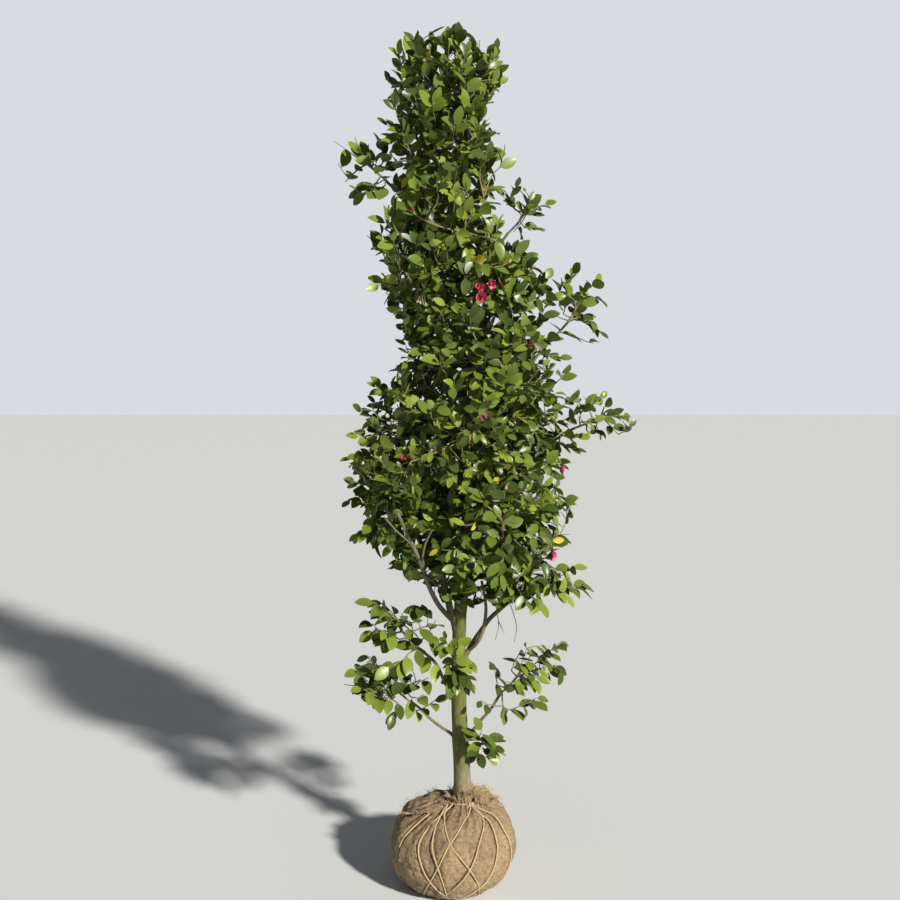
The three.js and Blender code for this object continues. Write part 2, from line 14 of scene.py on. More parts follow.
import bmesh
import bpy
import numpy as np
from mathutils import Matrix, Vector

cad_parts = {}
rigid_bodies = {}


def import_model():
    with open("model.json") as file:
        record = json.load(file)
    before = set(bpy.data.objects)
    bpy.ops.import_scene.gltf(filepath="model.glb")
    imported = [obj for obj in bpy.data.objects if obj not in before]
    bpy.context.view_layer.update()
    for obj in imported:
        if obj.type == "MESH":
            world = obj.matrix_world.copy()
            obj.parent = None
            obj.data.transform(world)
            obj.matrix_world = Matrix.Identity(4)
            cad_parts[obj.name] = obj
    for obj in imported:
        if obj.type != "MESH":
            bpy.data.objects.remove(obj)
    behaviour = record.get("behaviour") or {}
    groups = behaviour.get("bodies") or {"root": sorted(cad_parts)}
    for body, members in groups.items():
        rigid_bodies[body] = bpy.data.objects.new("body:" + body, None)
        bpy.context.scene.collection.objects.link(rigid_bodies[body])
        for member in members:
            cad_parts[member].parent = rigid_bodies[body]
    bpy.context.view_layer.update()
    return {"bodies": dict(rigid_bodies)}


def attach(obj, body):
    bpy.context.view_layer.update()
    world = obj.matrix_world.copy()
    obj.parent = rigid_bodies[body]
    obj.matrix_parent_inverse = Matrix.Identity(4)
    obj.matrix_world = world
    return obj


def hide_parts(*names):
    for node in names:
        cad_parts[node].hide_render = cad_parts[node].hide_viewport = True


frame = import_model()
MM = 0.001
UP = np.array([0.0, 0.0, 1.0])
TAU = 2 * math.pi
GOLDEN_ANGLE = math.pi * (3 - math.sqrt(5))

# %% [markdown]
# ## Camera and light
# The camera stands two and a half metres in front of the plant at eye height and looks a little
# down, which shows the top of the root ball. The lamp is a low sun from the front right, a little
# wide, so that its shadows have soft edges, and the pale sky fills the shade.

# %% Camera
EYE = (-0.004, -2.5, 1.4)
LOOKS_DOWN = 7.4
camera_data = bpy.data.cameras.new("camera")
camera_data.lens = 42.48
camera_data.sensor_width = 36
camera = bpy.data.objects.new("camera", camera_data)
camera.location = EYE
camera.rotation_euler = (math.radians(90 - LOOKS_DOWN), 0, 0)
bpy.context.scene.collection.objects.link(camera)
bpy.context.scene.camera = camera
bpy.context.scene.view_settings.view_transform = "Standard"
print("camera at", EYE, "looks down by", LOOKS_DOWN, "degrees")

# %% Light
SUN_FROM = (0.62, -0.66, 0.52)
sun_data = bpy.data.lights.new("sun", "SUN")
sun_data.energy = 6.4
sun_data.angle = math.radians(4)
sun_data.color = (1.0, 0.95, 0.86)
sun = bpy.data.objects.new("sun", sun_data)
sun.rotation_euler = Vector(SUN_FROM).to_track_quat("Z", "Y").to_euler()
bpy.context.scene.collection.objects.link(sun)

world = bpy.data.worlds.new("pale sky")
world.use_nodes = True
world.node_tree.nodes["Background"].inputs["Color"].default_value = (0.78, 0.81, 0.85, 1)
bpy.context.scene.world = world
print("sun of strength", round(sun_data.energy, 2))

# %% [markdown]
# ## Small helpers
# A node tree for shapes and a node tree for colours are both filled in the same way: make a
# node, set its properties, then give each input a number or a link. These helpers keep the later
# cells short.


# %% Helpers for node trees
def fill(tree, target, inputs):
    """Gives inputs numbers or links. A node stands for its own first output."""
    for key, value in inputs.items():
        if isinstance(value, bpy.types.Node):
            value = value.outputs[0]
        if isinstance(value, bpy.types.NodeSocket):
            tree.links.new(value, target.inputs[key])
        else:
            target.inputs[key].default_value = value


def node(tree, kind, inputs=None, **settings):
    made = tree.nodes.new(kind)
    for key, value in settings.items():
        setattr(made, key, value)
    fill(tree, made, inputs or {})
    return made


def new_group(name, kind, inputs, outputs):
    group = bpy.data.node_groups.new(name, kind)
    for label, (socket_type, value) in inputs.items():
        socket = group.interface.new_socket(label, in_out="INPUT", socket_type=socket_type)
        if value is not None:
            socket.default_value = value
    for label, socket_type in outputs.items():
        group.interface.new_socket(label, in_out="OUTPUT", socket_type=socket_type)
    return group, group.nodes.new("NodeGroupInput").outputs, group.nodes.new("NodeGroupOutput")


# %% Nodes that both kinds of tree use
def maths(tree, operation, *values):
    return node(tree, "ShaderNodeMath", dict(enumerate(values)), operation=operation)


def times(tree, vector, factor):
    return node(tree, "ShaderNodeVectorMath", {0: vector, "Scale": factor}, operation="SCALE")


def noise(tree, place, scale, detail=2.0, roughness=0.5):
    inputs = {"Vector": place, "Scale": scale, "Detail": detail, "Roughness": roughness}
    return node(tree, "ShaderNodeTexNoise", inputs)


def remap(tree, value, old, new):
    inputs = {"Value": value, "From Min": old[0], "From Max": old[1], "To Min": new[0], "To Max": new[1]}
    return node(tree, "ShaderNodeMapRange", inputs)


def blend(tree, share, first, second):
    """A colour between two colours."""
    return node(tree, "ShaderNodeMix", {0: share, 6: first, 7: second}, data_type="RGBA").outputs[2]


# %% Brightness of the sky as a backdrop and as a lamp
SKY_SEEN = 0.88
SKY_LIGHT = 0.22
seen = node(world.node_tree, "ShaderNodeLightPath").outputs["Is Camera Ray"]
sky = maths(world.node_tree, "MULTIPLY_ADD", seen, SKY_SEEN - SKY_LIGHT, SKY_LIGHT)
fill(world.node_tree, world.node_tree.nodes["Background"], {"Strength": sky})
print("sky", SKY_SEEN, "as seen and", SKY_LIGHT, "as a lamp")


# %% Helpers for meshes
def new_object(name, vertices, edges=(), faces=(), attributes=None):
    mesh = bpy.data.meshes.new(name)
    mesh.from_pydata((np.asarray(vertices) * MM).tolist(), list(edges), list(faces))
    for label, values in (attributes or {}).items():
        values = np.asarray(values, float)
        kind = "FLOAT_VECTOR" if values.ndim > 1 else "FLOAT"
        layer = mesh.attributes.new(label, kind, "POINT")
        layer.data.foreach_set("vector" if values.ndim > 1 else "value", values.ravel())
    made = bpy.data.objects.new(name, mesh)
    bpy.context.scene.collection.objects.link(made)
    return made


def triangles_in(thing):
    return sum(len(face.vertices) - 2 for face in thing.data.polygons)


def grown(thing, tree, **values):
    """Runs a geometry tree on an object and keeps the result as its plain mesh."""
    modifier = thing.modifiers.new("shape", "NODES")
    modifier.node_group = tree
    for item in tree.interface.items_tree:
        key = item.name.replace(" ", "_").lower()
        if item.in_out == "INPUT" and key in values:
            modifier[item.identifier] = values[key]
    graph = bpy.context.evaluated_depsgraph_get()
    mesh = bpy.data.meshes.new_from_object(thing.evaluated_get(graph), depsgraph=graph)
    thing.modifiers.clear()
    thing.data = mesh
    print(thing.name, triangles_in(thing), "triangles")
    return thing


def finish_piece(thing, replaced=()):
    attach(thing, next(iter(frame["bodies"])))
    if replaced:
        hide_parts(*replaced)


# %% [markdown]
# ## Two trees that make nearly everything
# Trunk, boughs, twigs, twine and loose fibres all follow a line, so one tree sweeps a round
# profile along lines and can roughen what it made. Leaves, petals and buds repeat one small
# pattern, so the other tree sets that pattern on points. Each point says where the pattern
# points, which way it faces and how large it is. All of it could be built point by point, but a
# tree makes thousands of copies in a second and keeps the rule in one place.

# %% What both trees share
SHAPE_OUTPUT = {"Geometry": "NodeSocketGeometry"}


def attribute(tree, name, data_type="FLOAT_VECTOR"):
    """What a point says about itself."""
    made = node(tree, "GeometryNodeInputNamedAttribute", {"Name": name}, data_type=data_type)
    return made.outputs["Attribute"]


def smooth_and_real(tree, geometry):
    real = node(tree, "GeometryNodeRealizeInstances", {"Geometry": geometry})
    return node(tree, "GeometryNodeSetShadeSmooth", {"Geometry": real})


def with_material(tree, geometry, material, selection=True):
    inputs = {"Geometry": geometry, "Selection": selection, "Material": material}
    return node(tree, "GeometryNodeSetMaterial", inputs)


# %% The tree that sweeps limbs along lines
FURROW_STRETCH = (1.0, 1.0, 0.3)


def sweep_tree():
    inputs = {
        "Geometry": ("NodeSocketGeometry", None),
        "Step": ("NodeSocketFloat", 0.01),
        "Sides": ("NodeSocketInt", 6),
        "Relief": ("NodeSocketFloat", 0.0),
        "Relief Scale": ("NodeSocketFloat", 60.0),
        "Material": ("NodeSocketMaterial", None),
    }
    tree, given, result = new_group("swept limbs", "GeometryNodeTree", inputs, SHAPE_OUTPUT)
    line = node(tree, "GeometryNodeMeshToCurve", {"Mesh": given["Geometry"]})
    even = node(tree, "GeometryNodeResampleCurve", {"Curve": line, "Length": given["Step"]}, mode="LENGTH")
    ring = node(tree, "GeometryNodeCurvePrimitiveCircle", {"Resolution": given["Sides"], "Radius": 1.0})
    thickness = attribute(tree, "thickness", "FLOAT")
    tube = {"Curve": even, "Profile Curve": ring, "Scale": thickness, "Fill Caps": True}
    limb = node(tree, "GeometryNodeCurveToMesh", tube)
    # Bark furrows run along the limb, so the noise is stretched in height.
    place = node(tree, "GeometryNodeInputPosition")
    stretched = node(tree, "ShaderNodeVectorMath", {0: place, 1: FURROW_STRETCH}, operation="MULTIPLY")
    furrows = noise(tree, stretched, given["Relief Scale"], 3.0)
    height = maths(tree, "MULTIPLY", maths(tree, "SUBTRACT", furrows, 0.5), given["Relief"])
    offset = times(tree, node(tree, "GeometryNodeInputNormal"), height)
    rough = node(tree, "GeometryNodeSetPosition", {"Geometry": limb, "Offset": offset})
    done = with_material(tree, smooth_and_real(tree, rough), given["Material"])
    fill(tree, result, {"Geometry": done})
    return tree


SWEEP = sweep_tree()
print("sweeping tree of", len(SWEEP.nodes), "nodes")


def swept(name, lines, radii, **values):
    """One piece from many lines of points, with one radius for all or a list of radii for each line."""
    if not isinstance(radii, list):
        radii = [np.full(len(line), radii) for line in lines]
    starts = np.cumsum([0] + [len(line) for line in lines])
    edges = [(s + i, s + i + 1) for s, line in zip(starts, lines) for i in range(len(line) - 1)]
    thickness = np.concatenate(radii) * MM
    thing = new_object(name, np.concatenate(lines), edges, (), {"thickness": thickness})
    return grown(thing, SWEEP, **values)


# %% The tree that sets a pattern on points
def scatter_tree():
    inputs = {
        "Geometry": ("NodeSocketGeometry", None),
        "Pattern": ("NodeSocketObject", None),
        "Material": ("NodeSocketMaterial", None),
        "Under Material": ("NodeSocketMaterial", None),
    }
    tree, given, result = new_group("set on points", "GeometryNodeTree", inputs, SHAPE_OUTPUT)
    pattern = node(tree, "GeometryNodeObjectInfo", {"Object": given["Pattern"]})
    axes = {"Primary Axis": attribute(tree, "along"), "Secondary Axis": attribute(tree, "face")}
    turn = node(tree, "FunctionNodeAxesToRotation", axes, primary_axis="X", secondary_axis="Z")
    copy = {
        "Points": given["Geometry"],
        "Instance": pattern.outputs["Geometry"],
        "Rotation": turn,
        "Scale": attribute(tree, "size"),
    }
    copies = smooth_and_real(tree, node(tree, "GeometryNodeInstanceOnPoints", copy))
    top = with_material(tree, copies, given["Material"])
    under = with_material(tree, top, given["Under Material"], attribute(tree, "under", "BOOLEAN"))
    fill(tree, result, {"Geometry": under})
    return tree


SCATTER = scatter_tree()
print("setting tree of", len(SCATTER.nodes), "nodes")


def scattered(name, pattern, places, along, face, size, material, under=None):
    attributes = {"along": along, "face": face, "size": size}
    thing = new_object(name, places, (), (), attributes)
    return grown(thing, SCATTER, pattern=pattern, material=material, under_material=under or material)


# %% [markdown]
# ## Colours
# Bark, cloth and twine have patterns that a maker paints with noise. Leaves and petals are
# different: thousands of small faces hold no pattern well, so each kind of leaf has a few plain
# tints instead, and every spray of leaves is dealt one of them.


# %% Plain finishes
def new_finish(name):
    material = bpy.data.materials.new(name)
    material.use_nodes = True
    return material, material.node_tree, material.node_tree.nodes["Principled BSDF"]


def plain_finish(name, colour, roughness, gloss=0.5):
    material, tree, shader = new_finish(name)
    fill(tree, shader, {"Base Color": (*colour, 1), "Roughness": roughness, "Specular IOR Level": gloss})
    return material


# Tint of the leaves' upper side, tint of their underside, and how many sprays in a hundred have it.
LEAF_TINTS = {
    "deep": ((0.048, 0.075, 0.013), (0.115, 0.160, 0.038), 29),
    "green": ((0.094, 0.136, 0.019), (0.150, 0.200, 0.042), 38),
    "fresh": ((0.138, 0.190, 0.024), (0.190, 0.250, 0.048), 23),
    "lime": ((0.180, 0.230, 0.030), (0.250, 0.300, 0.060), 7),
    "yellow": ((0.420, 0.365, 0.030), (0.390, 0.350, 0.070), 2.5),
}
print(len(LEAF_TINTS), "tints of leaves")

# %% [markdown]
# ### Bark
# Young camellia bark is smooth and olive, with a green bloom of algae on the damp side, and it
# turns to a greyish tan near the ground. Long faint streaks follow the trunk; the same noise makes
# the bark's relief, and its low places are painted darker as shade. One group of nodes makes bark
# for trunk and boughs, so that each needs only its own colours.

# %% Bark finish
FINISH_OUTPUTS = {"Color": "NodeSocketColor", "Height": "NodeSocketFloat", "Roughness": "NodeSocketFloat"}


def bark_group():
    inputs = {
        "Bark": ("NodeSocketColor", (0.2, 0.16, 0.07, 1)),
        "Bloom": ("NodeSocketColor", (0.2, 0.22, 0.05, 1)),
        "Bloom Share": ("NodeSocketFloat", 0.5),
        "Bloom From": ("NodeSocketFloat", 0.0),
    }
    group, given, result = new_group("bark", "ShaderNodeTree", inputs, FINISH_OUTPUTS)
    place = node(group, "ShaderNodeTexCoord").outputs["Object"]
    long = node(group, "ShaderNodeMapping", {"Vector": place, "Scale": (1, 1, 0.16)})
    streaks_and_hollow_shade = noise(group, long, 260.0, 5.0, 0.65)
    patches = noise(group, place, 17.0, 4.0)
    bloom = remap(group, maths(group, "ADD", patches, given["Bloom Share"]), (0.85, 1.15), (0, 1))
    # The bloom comes in over a few centimetres above the height that it starts from.
    height = node(group, "ShaderNodeSeparateXYZ", {0: place}).outputs[2]
    above = maths(group, "MULTIPLY", maths(group, "SUBTRACT", height, given["Bloom From"]), 18.0)
    above = node(group, "ShaderNodeClamp", {"Value": above})
    base = blend(group, maths(group, "MULTIPLY", bloom, above), given["Bark"], given["Bloom"])
    # The streaks' own tone, together with painted shade where the relief is low.
    tone = times(group, base, remap(group, streaks_and_hollow_shade, (0.3, 0.7), (0.62, 1.2)))
    dull = remap(group, streaks_and_hollow_shade, (0, 1), (0.95, 0.7))
    fill(group, result, {"Color": tone, "Height": streaks_and_hollow_shade, "Roughness": dull})
    return group


def relief_finish(name, group, values, distance, strength=0.6):
    """A material whose colour, roughness and relief come from one of the groups."""
    material, tree, shader = new_finish(name)
    pattern = node(tree, "ShaderNodeGroup", values, node_tree=group)
    relief = {"Height": pattern.outputs["Height"], "Distance": distance, "Strength": strength}
    bump = node(tree, "ShaderNodeBump", relief)
    colour, roughness = pattern.outputs["Color"], pattern.outputs["Roughness"]
    fill(tree, shader, {"Base Color": colour, "Roughness": roughness, "Normal": bump})
    return material


# %% Bark of the trunk, the boughs and the twigs
BARK = bark_group()
ON_TRUNK = {
    "Bark": (0.225, 0.185, 0.105, 1),
    "Bloom": (0.108, 0.122, 0.020, 1),
    "Bloom Share": 0.74,
    "Bloom From": 0.262,
}
ON_BOUGHS = {"Bark": (0.18, 0.155, 0.10, 1), "Bloom": (0.115, 0.13, 0.038, 1), "Bloom Share": 0.5}
TRUNK_BARK = relief_finish("trunk bark", BARK, ON_TRUNK, 0.002)
BOUGH_BARK = relief_finish("bough bark", BARK, ON_BOUGHS, 0.0015)
TWIG_BARK = plain_finish("twig bark", (0.20, 0.165, 0.095), 0.75)
YOUNG_BARK = plain_finish("young twig", (0.17, 0.16, 0.065), 0.6)
print("bark group of", len(BARK.nodes), "nodes")

# %% [markdown]
# ## The plant's sizes
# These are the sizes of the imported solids: the trunk's middle line, the outline of the crown from
# its lowest leaves to its tip, and the masses of foliage that share the crown between them. They
# are written again here, because the finer twigs below grow from the same limbs and stay inside
# the same outline.

# %% Sizes of the trunk and the crown
# The trunk's middle line from its foot up: x, y, height and radius.
TRUNK_STATIONS = np.array([
    (27, 0, 194, 23.5),
    (26, 1, 262, 20.8),
    (18, 5, 450, 18.2),
    (19, 8, 640, 15.2),
    (43, 4, 950, 12.6),
    (50, -8, 1200, 9.8),
    (20, -2, 1440, 7.2),
    (-14, 6, 1650, 5.2),
    (-12, 2, 1760, 4.2),
], float)
# Height, left edge, right edge and half depth of the crown.
CROWN = np.array([
    (690, -5, 120, 60),
    (760, -110, 312, 150),
    (860, -222, 288, 215),
    (1020, -262, 306, 235),
    (1190, -202, 292, 220),
    (1310, -124, 256, 180),
    (1480, -186, 220, 175),
    (1640, -192, 162, 160),
    (1800, -150, 120, 125),
    (1930, -152, 118, 115),
    (2005, -105, 92, 85),
    (2050, -25, 35, 22),
], float)
print("the trunk ends at", TRUNK_STATIONS[-1, 2], "and the crown at", CROWN[-1, 0], "mm")

# %% Masses in the crown and sprays outside it
# Tier, height of its middle, first bearing and the masses round it.
TIERS = [
    ("skirt", 785, 0, ("right", "left")),
    ("lower", 940, 180, ("left", "front", "back")),
    ("middle", 1130, 30, ("right", "left", "front")),
    ("waist", 1310, 120, ("back", "front")),
    ("upper", 1480, 30, ("right", "left")),
    ("shoulder", 1640, 120, ("back", "front")),
    ("high", 1800, 0, ("right", "left")),
    ("top", 1945, 0, ("tip",)),
]
TIER_SPREAD = 0.52
STEM_RISE = 58
STEM_STAGGER = 24
# Sprays outside the crown: middle and half sizes.
SPRAYS = {
    "spray_left_upper": ((-128, -15, 650), (112, 85, 66)),
    "spray_left_lower": ((-158, 10, 500), (112, 85, 72)),
    "spray_right": ((172, -5, 540), (112, 80, 84)),
    "trunk_tuft": ((78, -42, 364), (54, 52, 52)),
    "trunk_sprout": ((18, -62, 575), (52, 48, 76)),
    "sprig_right_high": ((286, 10, 1395), (84, 66, 128)),
    "sprig_right_middle": ((352, -20, 1160), (96, 62, 62)),
    "sprig_right_top": ((168, -5, 1625), (66, 60, 84)),
    "sprig_left_top": ((-196, 0, 1742), (76, 60, 76)),
}
print(len(TIERS), "tiers and", len(SPRAYS), "sprays")

# %% Boughs and blossoms
# Bough, its mass, its height on the trunk, its radius there and at its end, and its outward push.
BOUGHS = [
    ("bough_lower_left", "lower_left", 625, 9.5, 6, -6),
    ("bough_skirt_right", "skirt_right", 540, 7.5, 4.5, -22),
    ("bough_lower_back", "lower_back", 690, 8, 5, 0),
    ("bough_lower_front", "lower_front", 720, 8, 5, 0),
    ("bough_middle_right", "middle_right", 790, 8, 5, 0),
    ("bough_middle_left", "middle_left", 860, 7, 4.5, 0),
    ("bough_waist_front", "waist_front", 1030, 6.5, 4.5, 0),
    ("bough_upper_right", "upper_right", 1190, 6.5, 4, 0),
    ("bough_upper_left", "upper_left", 1230, 6, 4, 0),
    ("bough_shoulder_front", "shoulder_front", 1420, 5, 3.6, 0),
    ("branch_left_upper", "spray_left_upper", 448, 4.6, 3.2, -8),
    ("branch_left_lower", "spray_left_lower", 345, 4, 3, -6),
    ("branch_right", "spray_right", 352, 4.4, 3.2, 6),
    ("branch_right_high", "sprig_right_high", 1130, 5, 3.2, 12),
    ("branch_right_middle", "sprig_right_middle", 1010, 5, 3.2, 6),
    ("branch_right_top", "sprig_right_top", 1450, 4, 3, 4),
    ("branch_left_top", "sprig_left_top", 1560, 3.8, 3, 4),
]
# Blossoms on the front of the crown and on its back: x and height.
FRONT_BLOSSOMS = [
    (-95, 1622), (62, 1455), (90, 1462), (185, 1330), (75, 1170), (258, 1045), (240, 845), (108, 950)
]
BACK_BLOSSOMS = [(-60, 1540), (120, 1250), (-130, 1000), (60, 860)]
BLOSSOM_RADIUS = 19
BLOSSOM_INSET = 0.88
print(len(BOUGHS), "boughs and branches")

# %% [markdown]
# ## How the plant grows
# A mass of foliage owns the points that lie nearer to its own middle than to any other's, inside
# the crown's outline. A stem runs to that middle. Places to reach are spread through the mass,
# and each one in turn, the nearest first, is joined to the free fork that leaves the shortest
# way. The rule runs twice: once for the limbs that the solids have, and once more for the fine
# twigs between them. Twigs could also be thrown in by chance, but then many would cross, and none
# would lead back to the trunk.


# %% Numbers for the growth
def seeded(seed):
    state = (seed * 2654435761) & 0xFFFFFFFF
    while True:
        state = (state * 1664525 + 1013904223) & 0xFFFFFFFF
        yield state / 4294967296


def mix(a, b, share):
    return a + (b - a) * share


def unit(vectors):
    vectors = np.asarray(vectors, float)
    return vectors / np.maximum(np.linalg.norm(vectors, axis=-1, keepdims=True), 1e-9)


def smoothstep(values, low, high):
    share = np.clip((values - low) / (high - low), 0, 1)
    return share * share * (3 - 2 * share)


def bell(away, width):
    """A smooth hump: 1 in the middle, and nearly 0 at twice its width away."""
    return np.exp(-((away / width) ** 2))


def spread_of(count, turn):
    """An even spread of directions over a sphere."""
    i = np.arange(count)
    z = 1 - (2 * i + 1) / count
    flat = np.sqrt(1 - z * z)
    bearing = GOLDEN_ANGLE * i + turn
    return np.stack([flat * np.cos(bearing), flat * np.sin(bearing), z], axis=1)


# %% Lines through points
def spline(stations, power, steps=60):
    """A smooth line through stations: power 0.25 keeps its bends tight, and 0 is plain."""
    stations = np.asarray(stations, float)
    ends = [2 * stations[0] - stations[1], *stations, 2 * stations[-1] - stations[-2]]
    t = np.linspace(0, 1, steps, endpoint=False)[:, None]
    line = []
    for p0, p1, p2, p3 in zip(ends, ends[1:], ends[2:], ends[3:]):
        d0, d1, d2 = (((b - a) @ (b - a)) ** power for a, b in ((p0, p1), (p1, p2), (p2, p3)))
        leave = ((p1 - p0) / d0 - (p2 - p0) / (d0 + d1) + (p2 - p1) / d1) * d1
        reach = ((p2 - p1) / d1 - (p3 - p1) / (d1 + d2) + (p3 - p2) / d2) * d1
        bend = -3 * p1 + 3 * p2 - 2 * leave - reach
        twist = 2 * p1 - 2 * p2 + leave + reach
        line.append(p1 + leave * t + bend * t**2 + twist * t**3)
    return np.concatenate([*line, stations[-1:]])


def run_along(line):
    """How far along a line each of its points is."""
    return np.concatenate([[0], np.cumsum(np.linalg.norm(np.diff(line, axis=0), axis=1))])


def points_at(line, marks, lengths):
    """Points of a line at marks along it."""
    return np.stack([np.interp(marks, lengths, axis) for axis in line.T], axis=-1)


def evenly(line, count):
    """The same line cut into steps of one length."""
    lengths = run_along(line)
    return points_at(line, np.linspace(0, lengths[-1], count + 1), lengths)


# %% The trunk's middle line
TRUNK_LINE = evenly(spline(TRUNK_STATIONS[:, :3], 0.25, 200), 18)
print("the trunk is", round(run_along(TRUNK_LINE)[-1]), "mm long")


def trunk_radius(height):
    return np.interp(height, TRUNK_STATIONS[:, 2], TRUNK_STATIONS[:, 3])


def on_trunk(height):
    return points_at(TRUNK_LINE, height, TRUNK_LINE[:, 2])


# %% The crown's outline
def crown_section(z):
    left, right, depth = (np.interp(z, CROWN[:, 0], CROWN[:, i]) for i in (1, 2, 3))
    return (left + right) / 2, (right - left) / 2, depth


def crown_share(points):
    """How far out in the crown points lie: 0 in its middle, and 1 at its outline."""
    x, across, depth = crown_section(points[..., 2])
    return np.hypot((points[..., 0] - x) / across, points[..., 1] / depth)


def in_crown(points, edge=1):
    above_foot = points[..., 2] >= CROWN[0, 0]
    return (crown_share(points) <= edge) & above_foot & (points[..., 2] <= CROWN[-1, 0])


def in_spray(spray, points):
    middle, half = (np.array(size, float) for size in spray)
    return np.linalg.norm((points - middle) / half, axis=-1) <= 1


# %% The masses of foliage
def crown_masses():
    for tier, z, first, sides in TIERS:
        x, across, depth = crown_section(z)
        spread = TIER_SPREAD if len(sides) > 1 else 0
        for i, side in enumerate(sides):
            bearing = math.radians(first + 360 / len(sides) * i)
            middle = (x + math.cos(bearing) * across * spread, math.sin(bearing) * depth * spread, z)
            yield SimpleNamespace(
                name=f"{tier}_{side}",
                middle=np.array(middle),
                outline=in_crown,
                rise=STEM_RISE,
                lower=STEM_STAGGER * i,
                spray=False,
            )


def spray_masses():
    for name, spray in SPRAYS.items():
        yield SimpleNamespace(
            name=name,
            middle=np.array(spray[0], float),
            outline=lambda points, spray=spray: in_spray(spray, points),
            rise=spray[1][2] * 0.5,
            lower=0,
            spray=True,
        )


MASSES = [*crown_masses(), *spray_masses()]
MIDDLES = np.array([mass.middle for mass in MASSES])
MASS_CLEARANCE = 1.2
REACH_STEP = 4
REACH_STEPS = 199
print(len(MASSES), "masses of foliage")


def in_space(mass, points, clearance=MASS_CLEARANCE):
    """Which of the points belong to a mass."""
    away = ((points[:, None] - MIDDLES) ** 2).sum(-1)
    own = ((points - mass.middle) ** 2).sum(-1)
    apart = 2 * np.linalg.norm(MIDDLES - mass.middle, axis=1)
    with np.errstate(divide="ignore", invalid="ignore"):
        room = np.where(apart > 0, (away - own[:, None]) / apart, np.inf)
    return mass.outline(points) & (room > clearance).all(axis=1)


def reach_of(mass, direction):
    steps = np.arange(1, REACH_STEPS + 1)[:, None] * REACH_STEP
    inside = in_space(mass, mass.middle + direction * steps)
    return float(np.argmin(inside)) * REACH_STEP


# %% [markdown]
# ### Boughs and stems
# A bough leaves the trunk, arches a little and ends just inside the space of its mass. A mass
# with no bough has its stem on the trunk itself.

# %% Lay out the boughs and the stems
BOUGH_ENTRY = 14
BOUGH_FARTHEST = 0.6
BOUGH_STEPS = 4
TWIG = SimpleNamespace(radius=3, end=2, stem=5)
STEM_SHARE = 0.8


def curve_between(start, bend, end, shares):
    shares = np.asarray(shares, float)[:, None]
    return start * (1 - shares) ** 2 + 2 * bend * shares * (1 - shares) + end * shares**2


def lay_bough(mass, height, push):
    start = on_trunk(height)
    far = np.linalg.norm(start - mass.middle)
    towards = (start - mass.middle) / far
    end = mass.middle + towards * min(reach_of(mass, towards) - BOUGH_ENTRY, far * BOUGH_FARTHEST)
    outward = unit((end - start) * (1, 1, 0))
    bend = mix(start, end, 0.5) + outward * push - UP * push
    return start, bend, end


mass_named = {mass.name: mass for mass in MASSES}
boughs = {}
for name, mass_name, height, radius, end_radius, push in BOUGHS:
    mass = mass_named[mass_name]
    start, bend, end = lay_bough(mass, height, push)
    line = evenly(curve_between(start, bend, end, np.linspace(0, 1, 200)), BOUGH_STEPS)
    radii = mix(radius, end_radius, np.linspace(0, 1, BOUGH_STEPS + 1))
    boughs[name] = SimpleNamespace(line=line, radii=radii, course=(start, bend, end))
    mass.foot = (line[-1], end_radius)

for mass in MASSES:
    if not hasattr(mass, "foot"):
        top = TRUNK_LINE[-1, 2]
        height = min(mass.middle[2] - mass.rise, top) - mass.lower
        mass.foot = (on_trunk(min(height, top)), float(trunk_radius(min(height, top))))
    foot, radius = mass.foot
    radii = np.array([min(TWIG.stem, radius * STEM_SHARE), TWIG.radius])
    mass.stem = SimpleNamespace(line=np.array([foot, mass.middle]), radii=radii)
print(len(boughs), "boughs")


# %% [markdown]
# ### The rule of the fork
# A twig must keep clear of other twigs and limbs, and it may turn only so far from its parent.
# Each fork carries one twig.


# %% Room between limbs
CHECK_STEP = 8


def segments_of(limbs):
    """All limbs as one list of straight pieces: start, span and the radius at both ends."""
    starts = np.concatenate([limb.line[:-1] for limb in limbs])
    ends = np.concatenate([limb.line[1:] for limb in limbs])
    from_radius = np.concatenate([limb.radii[:-1] for limb in limbs])
    to_radius = np.concatenate([limb.radii[1:] for limb in limbs])
    return starts, ends - starts, from_radius, to_radius


def room_round(points, segments):
    """How far each point is from the nearest limb's surface."""
    starts, spans, from_radius, to_radius = segments
    away = points[:, None] - starts
    share = (away * spans).sum(-1) / np.maximum((spans**2).sum(-1), 1e-9)
    share = np.clip(share, 0, 1)
    gap = np.linalg.norm(away - spans * share[..., None], axis=-1)
    return (gap - mix(from_radius, to_radius, share)).min(axis=1)


def is_clear(start, end, segments, clearance):
    steps = max(1, math.ceil(np.linalg.norm(end - start) / CHECK_STEP))
    points = start + (end - start) * np.linspace(0, 1, steps + 1)[:, None]
    return bool((room_round(points, segments) >= clearance).all())


# %% Growing twigs from forks
def angle_between(a, b):
    return math.acos(np.clip(unit(a) @ unit(b), -1, 1))


def forks_on(limb, shares, way):
    start, end = limb.line[0], limb.line[-1]
    length = np.linalg.norm(end - start)
    return [
        SimpleNamespace(limb=limb, share=s, place=mix(start, end, s), way=way + length * s, taken=False)
        for s in shares
    ]


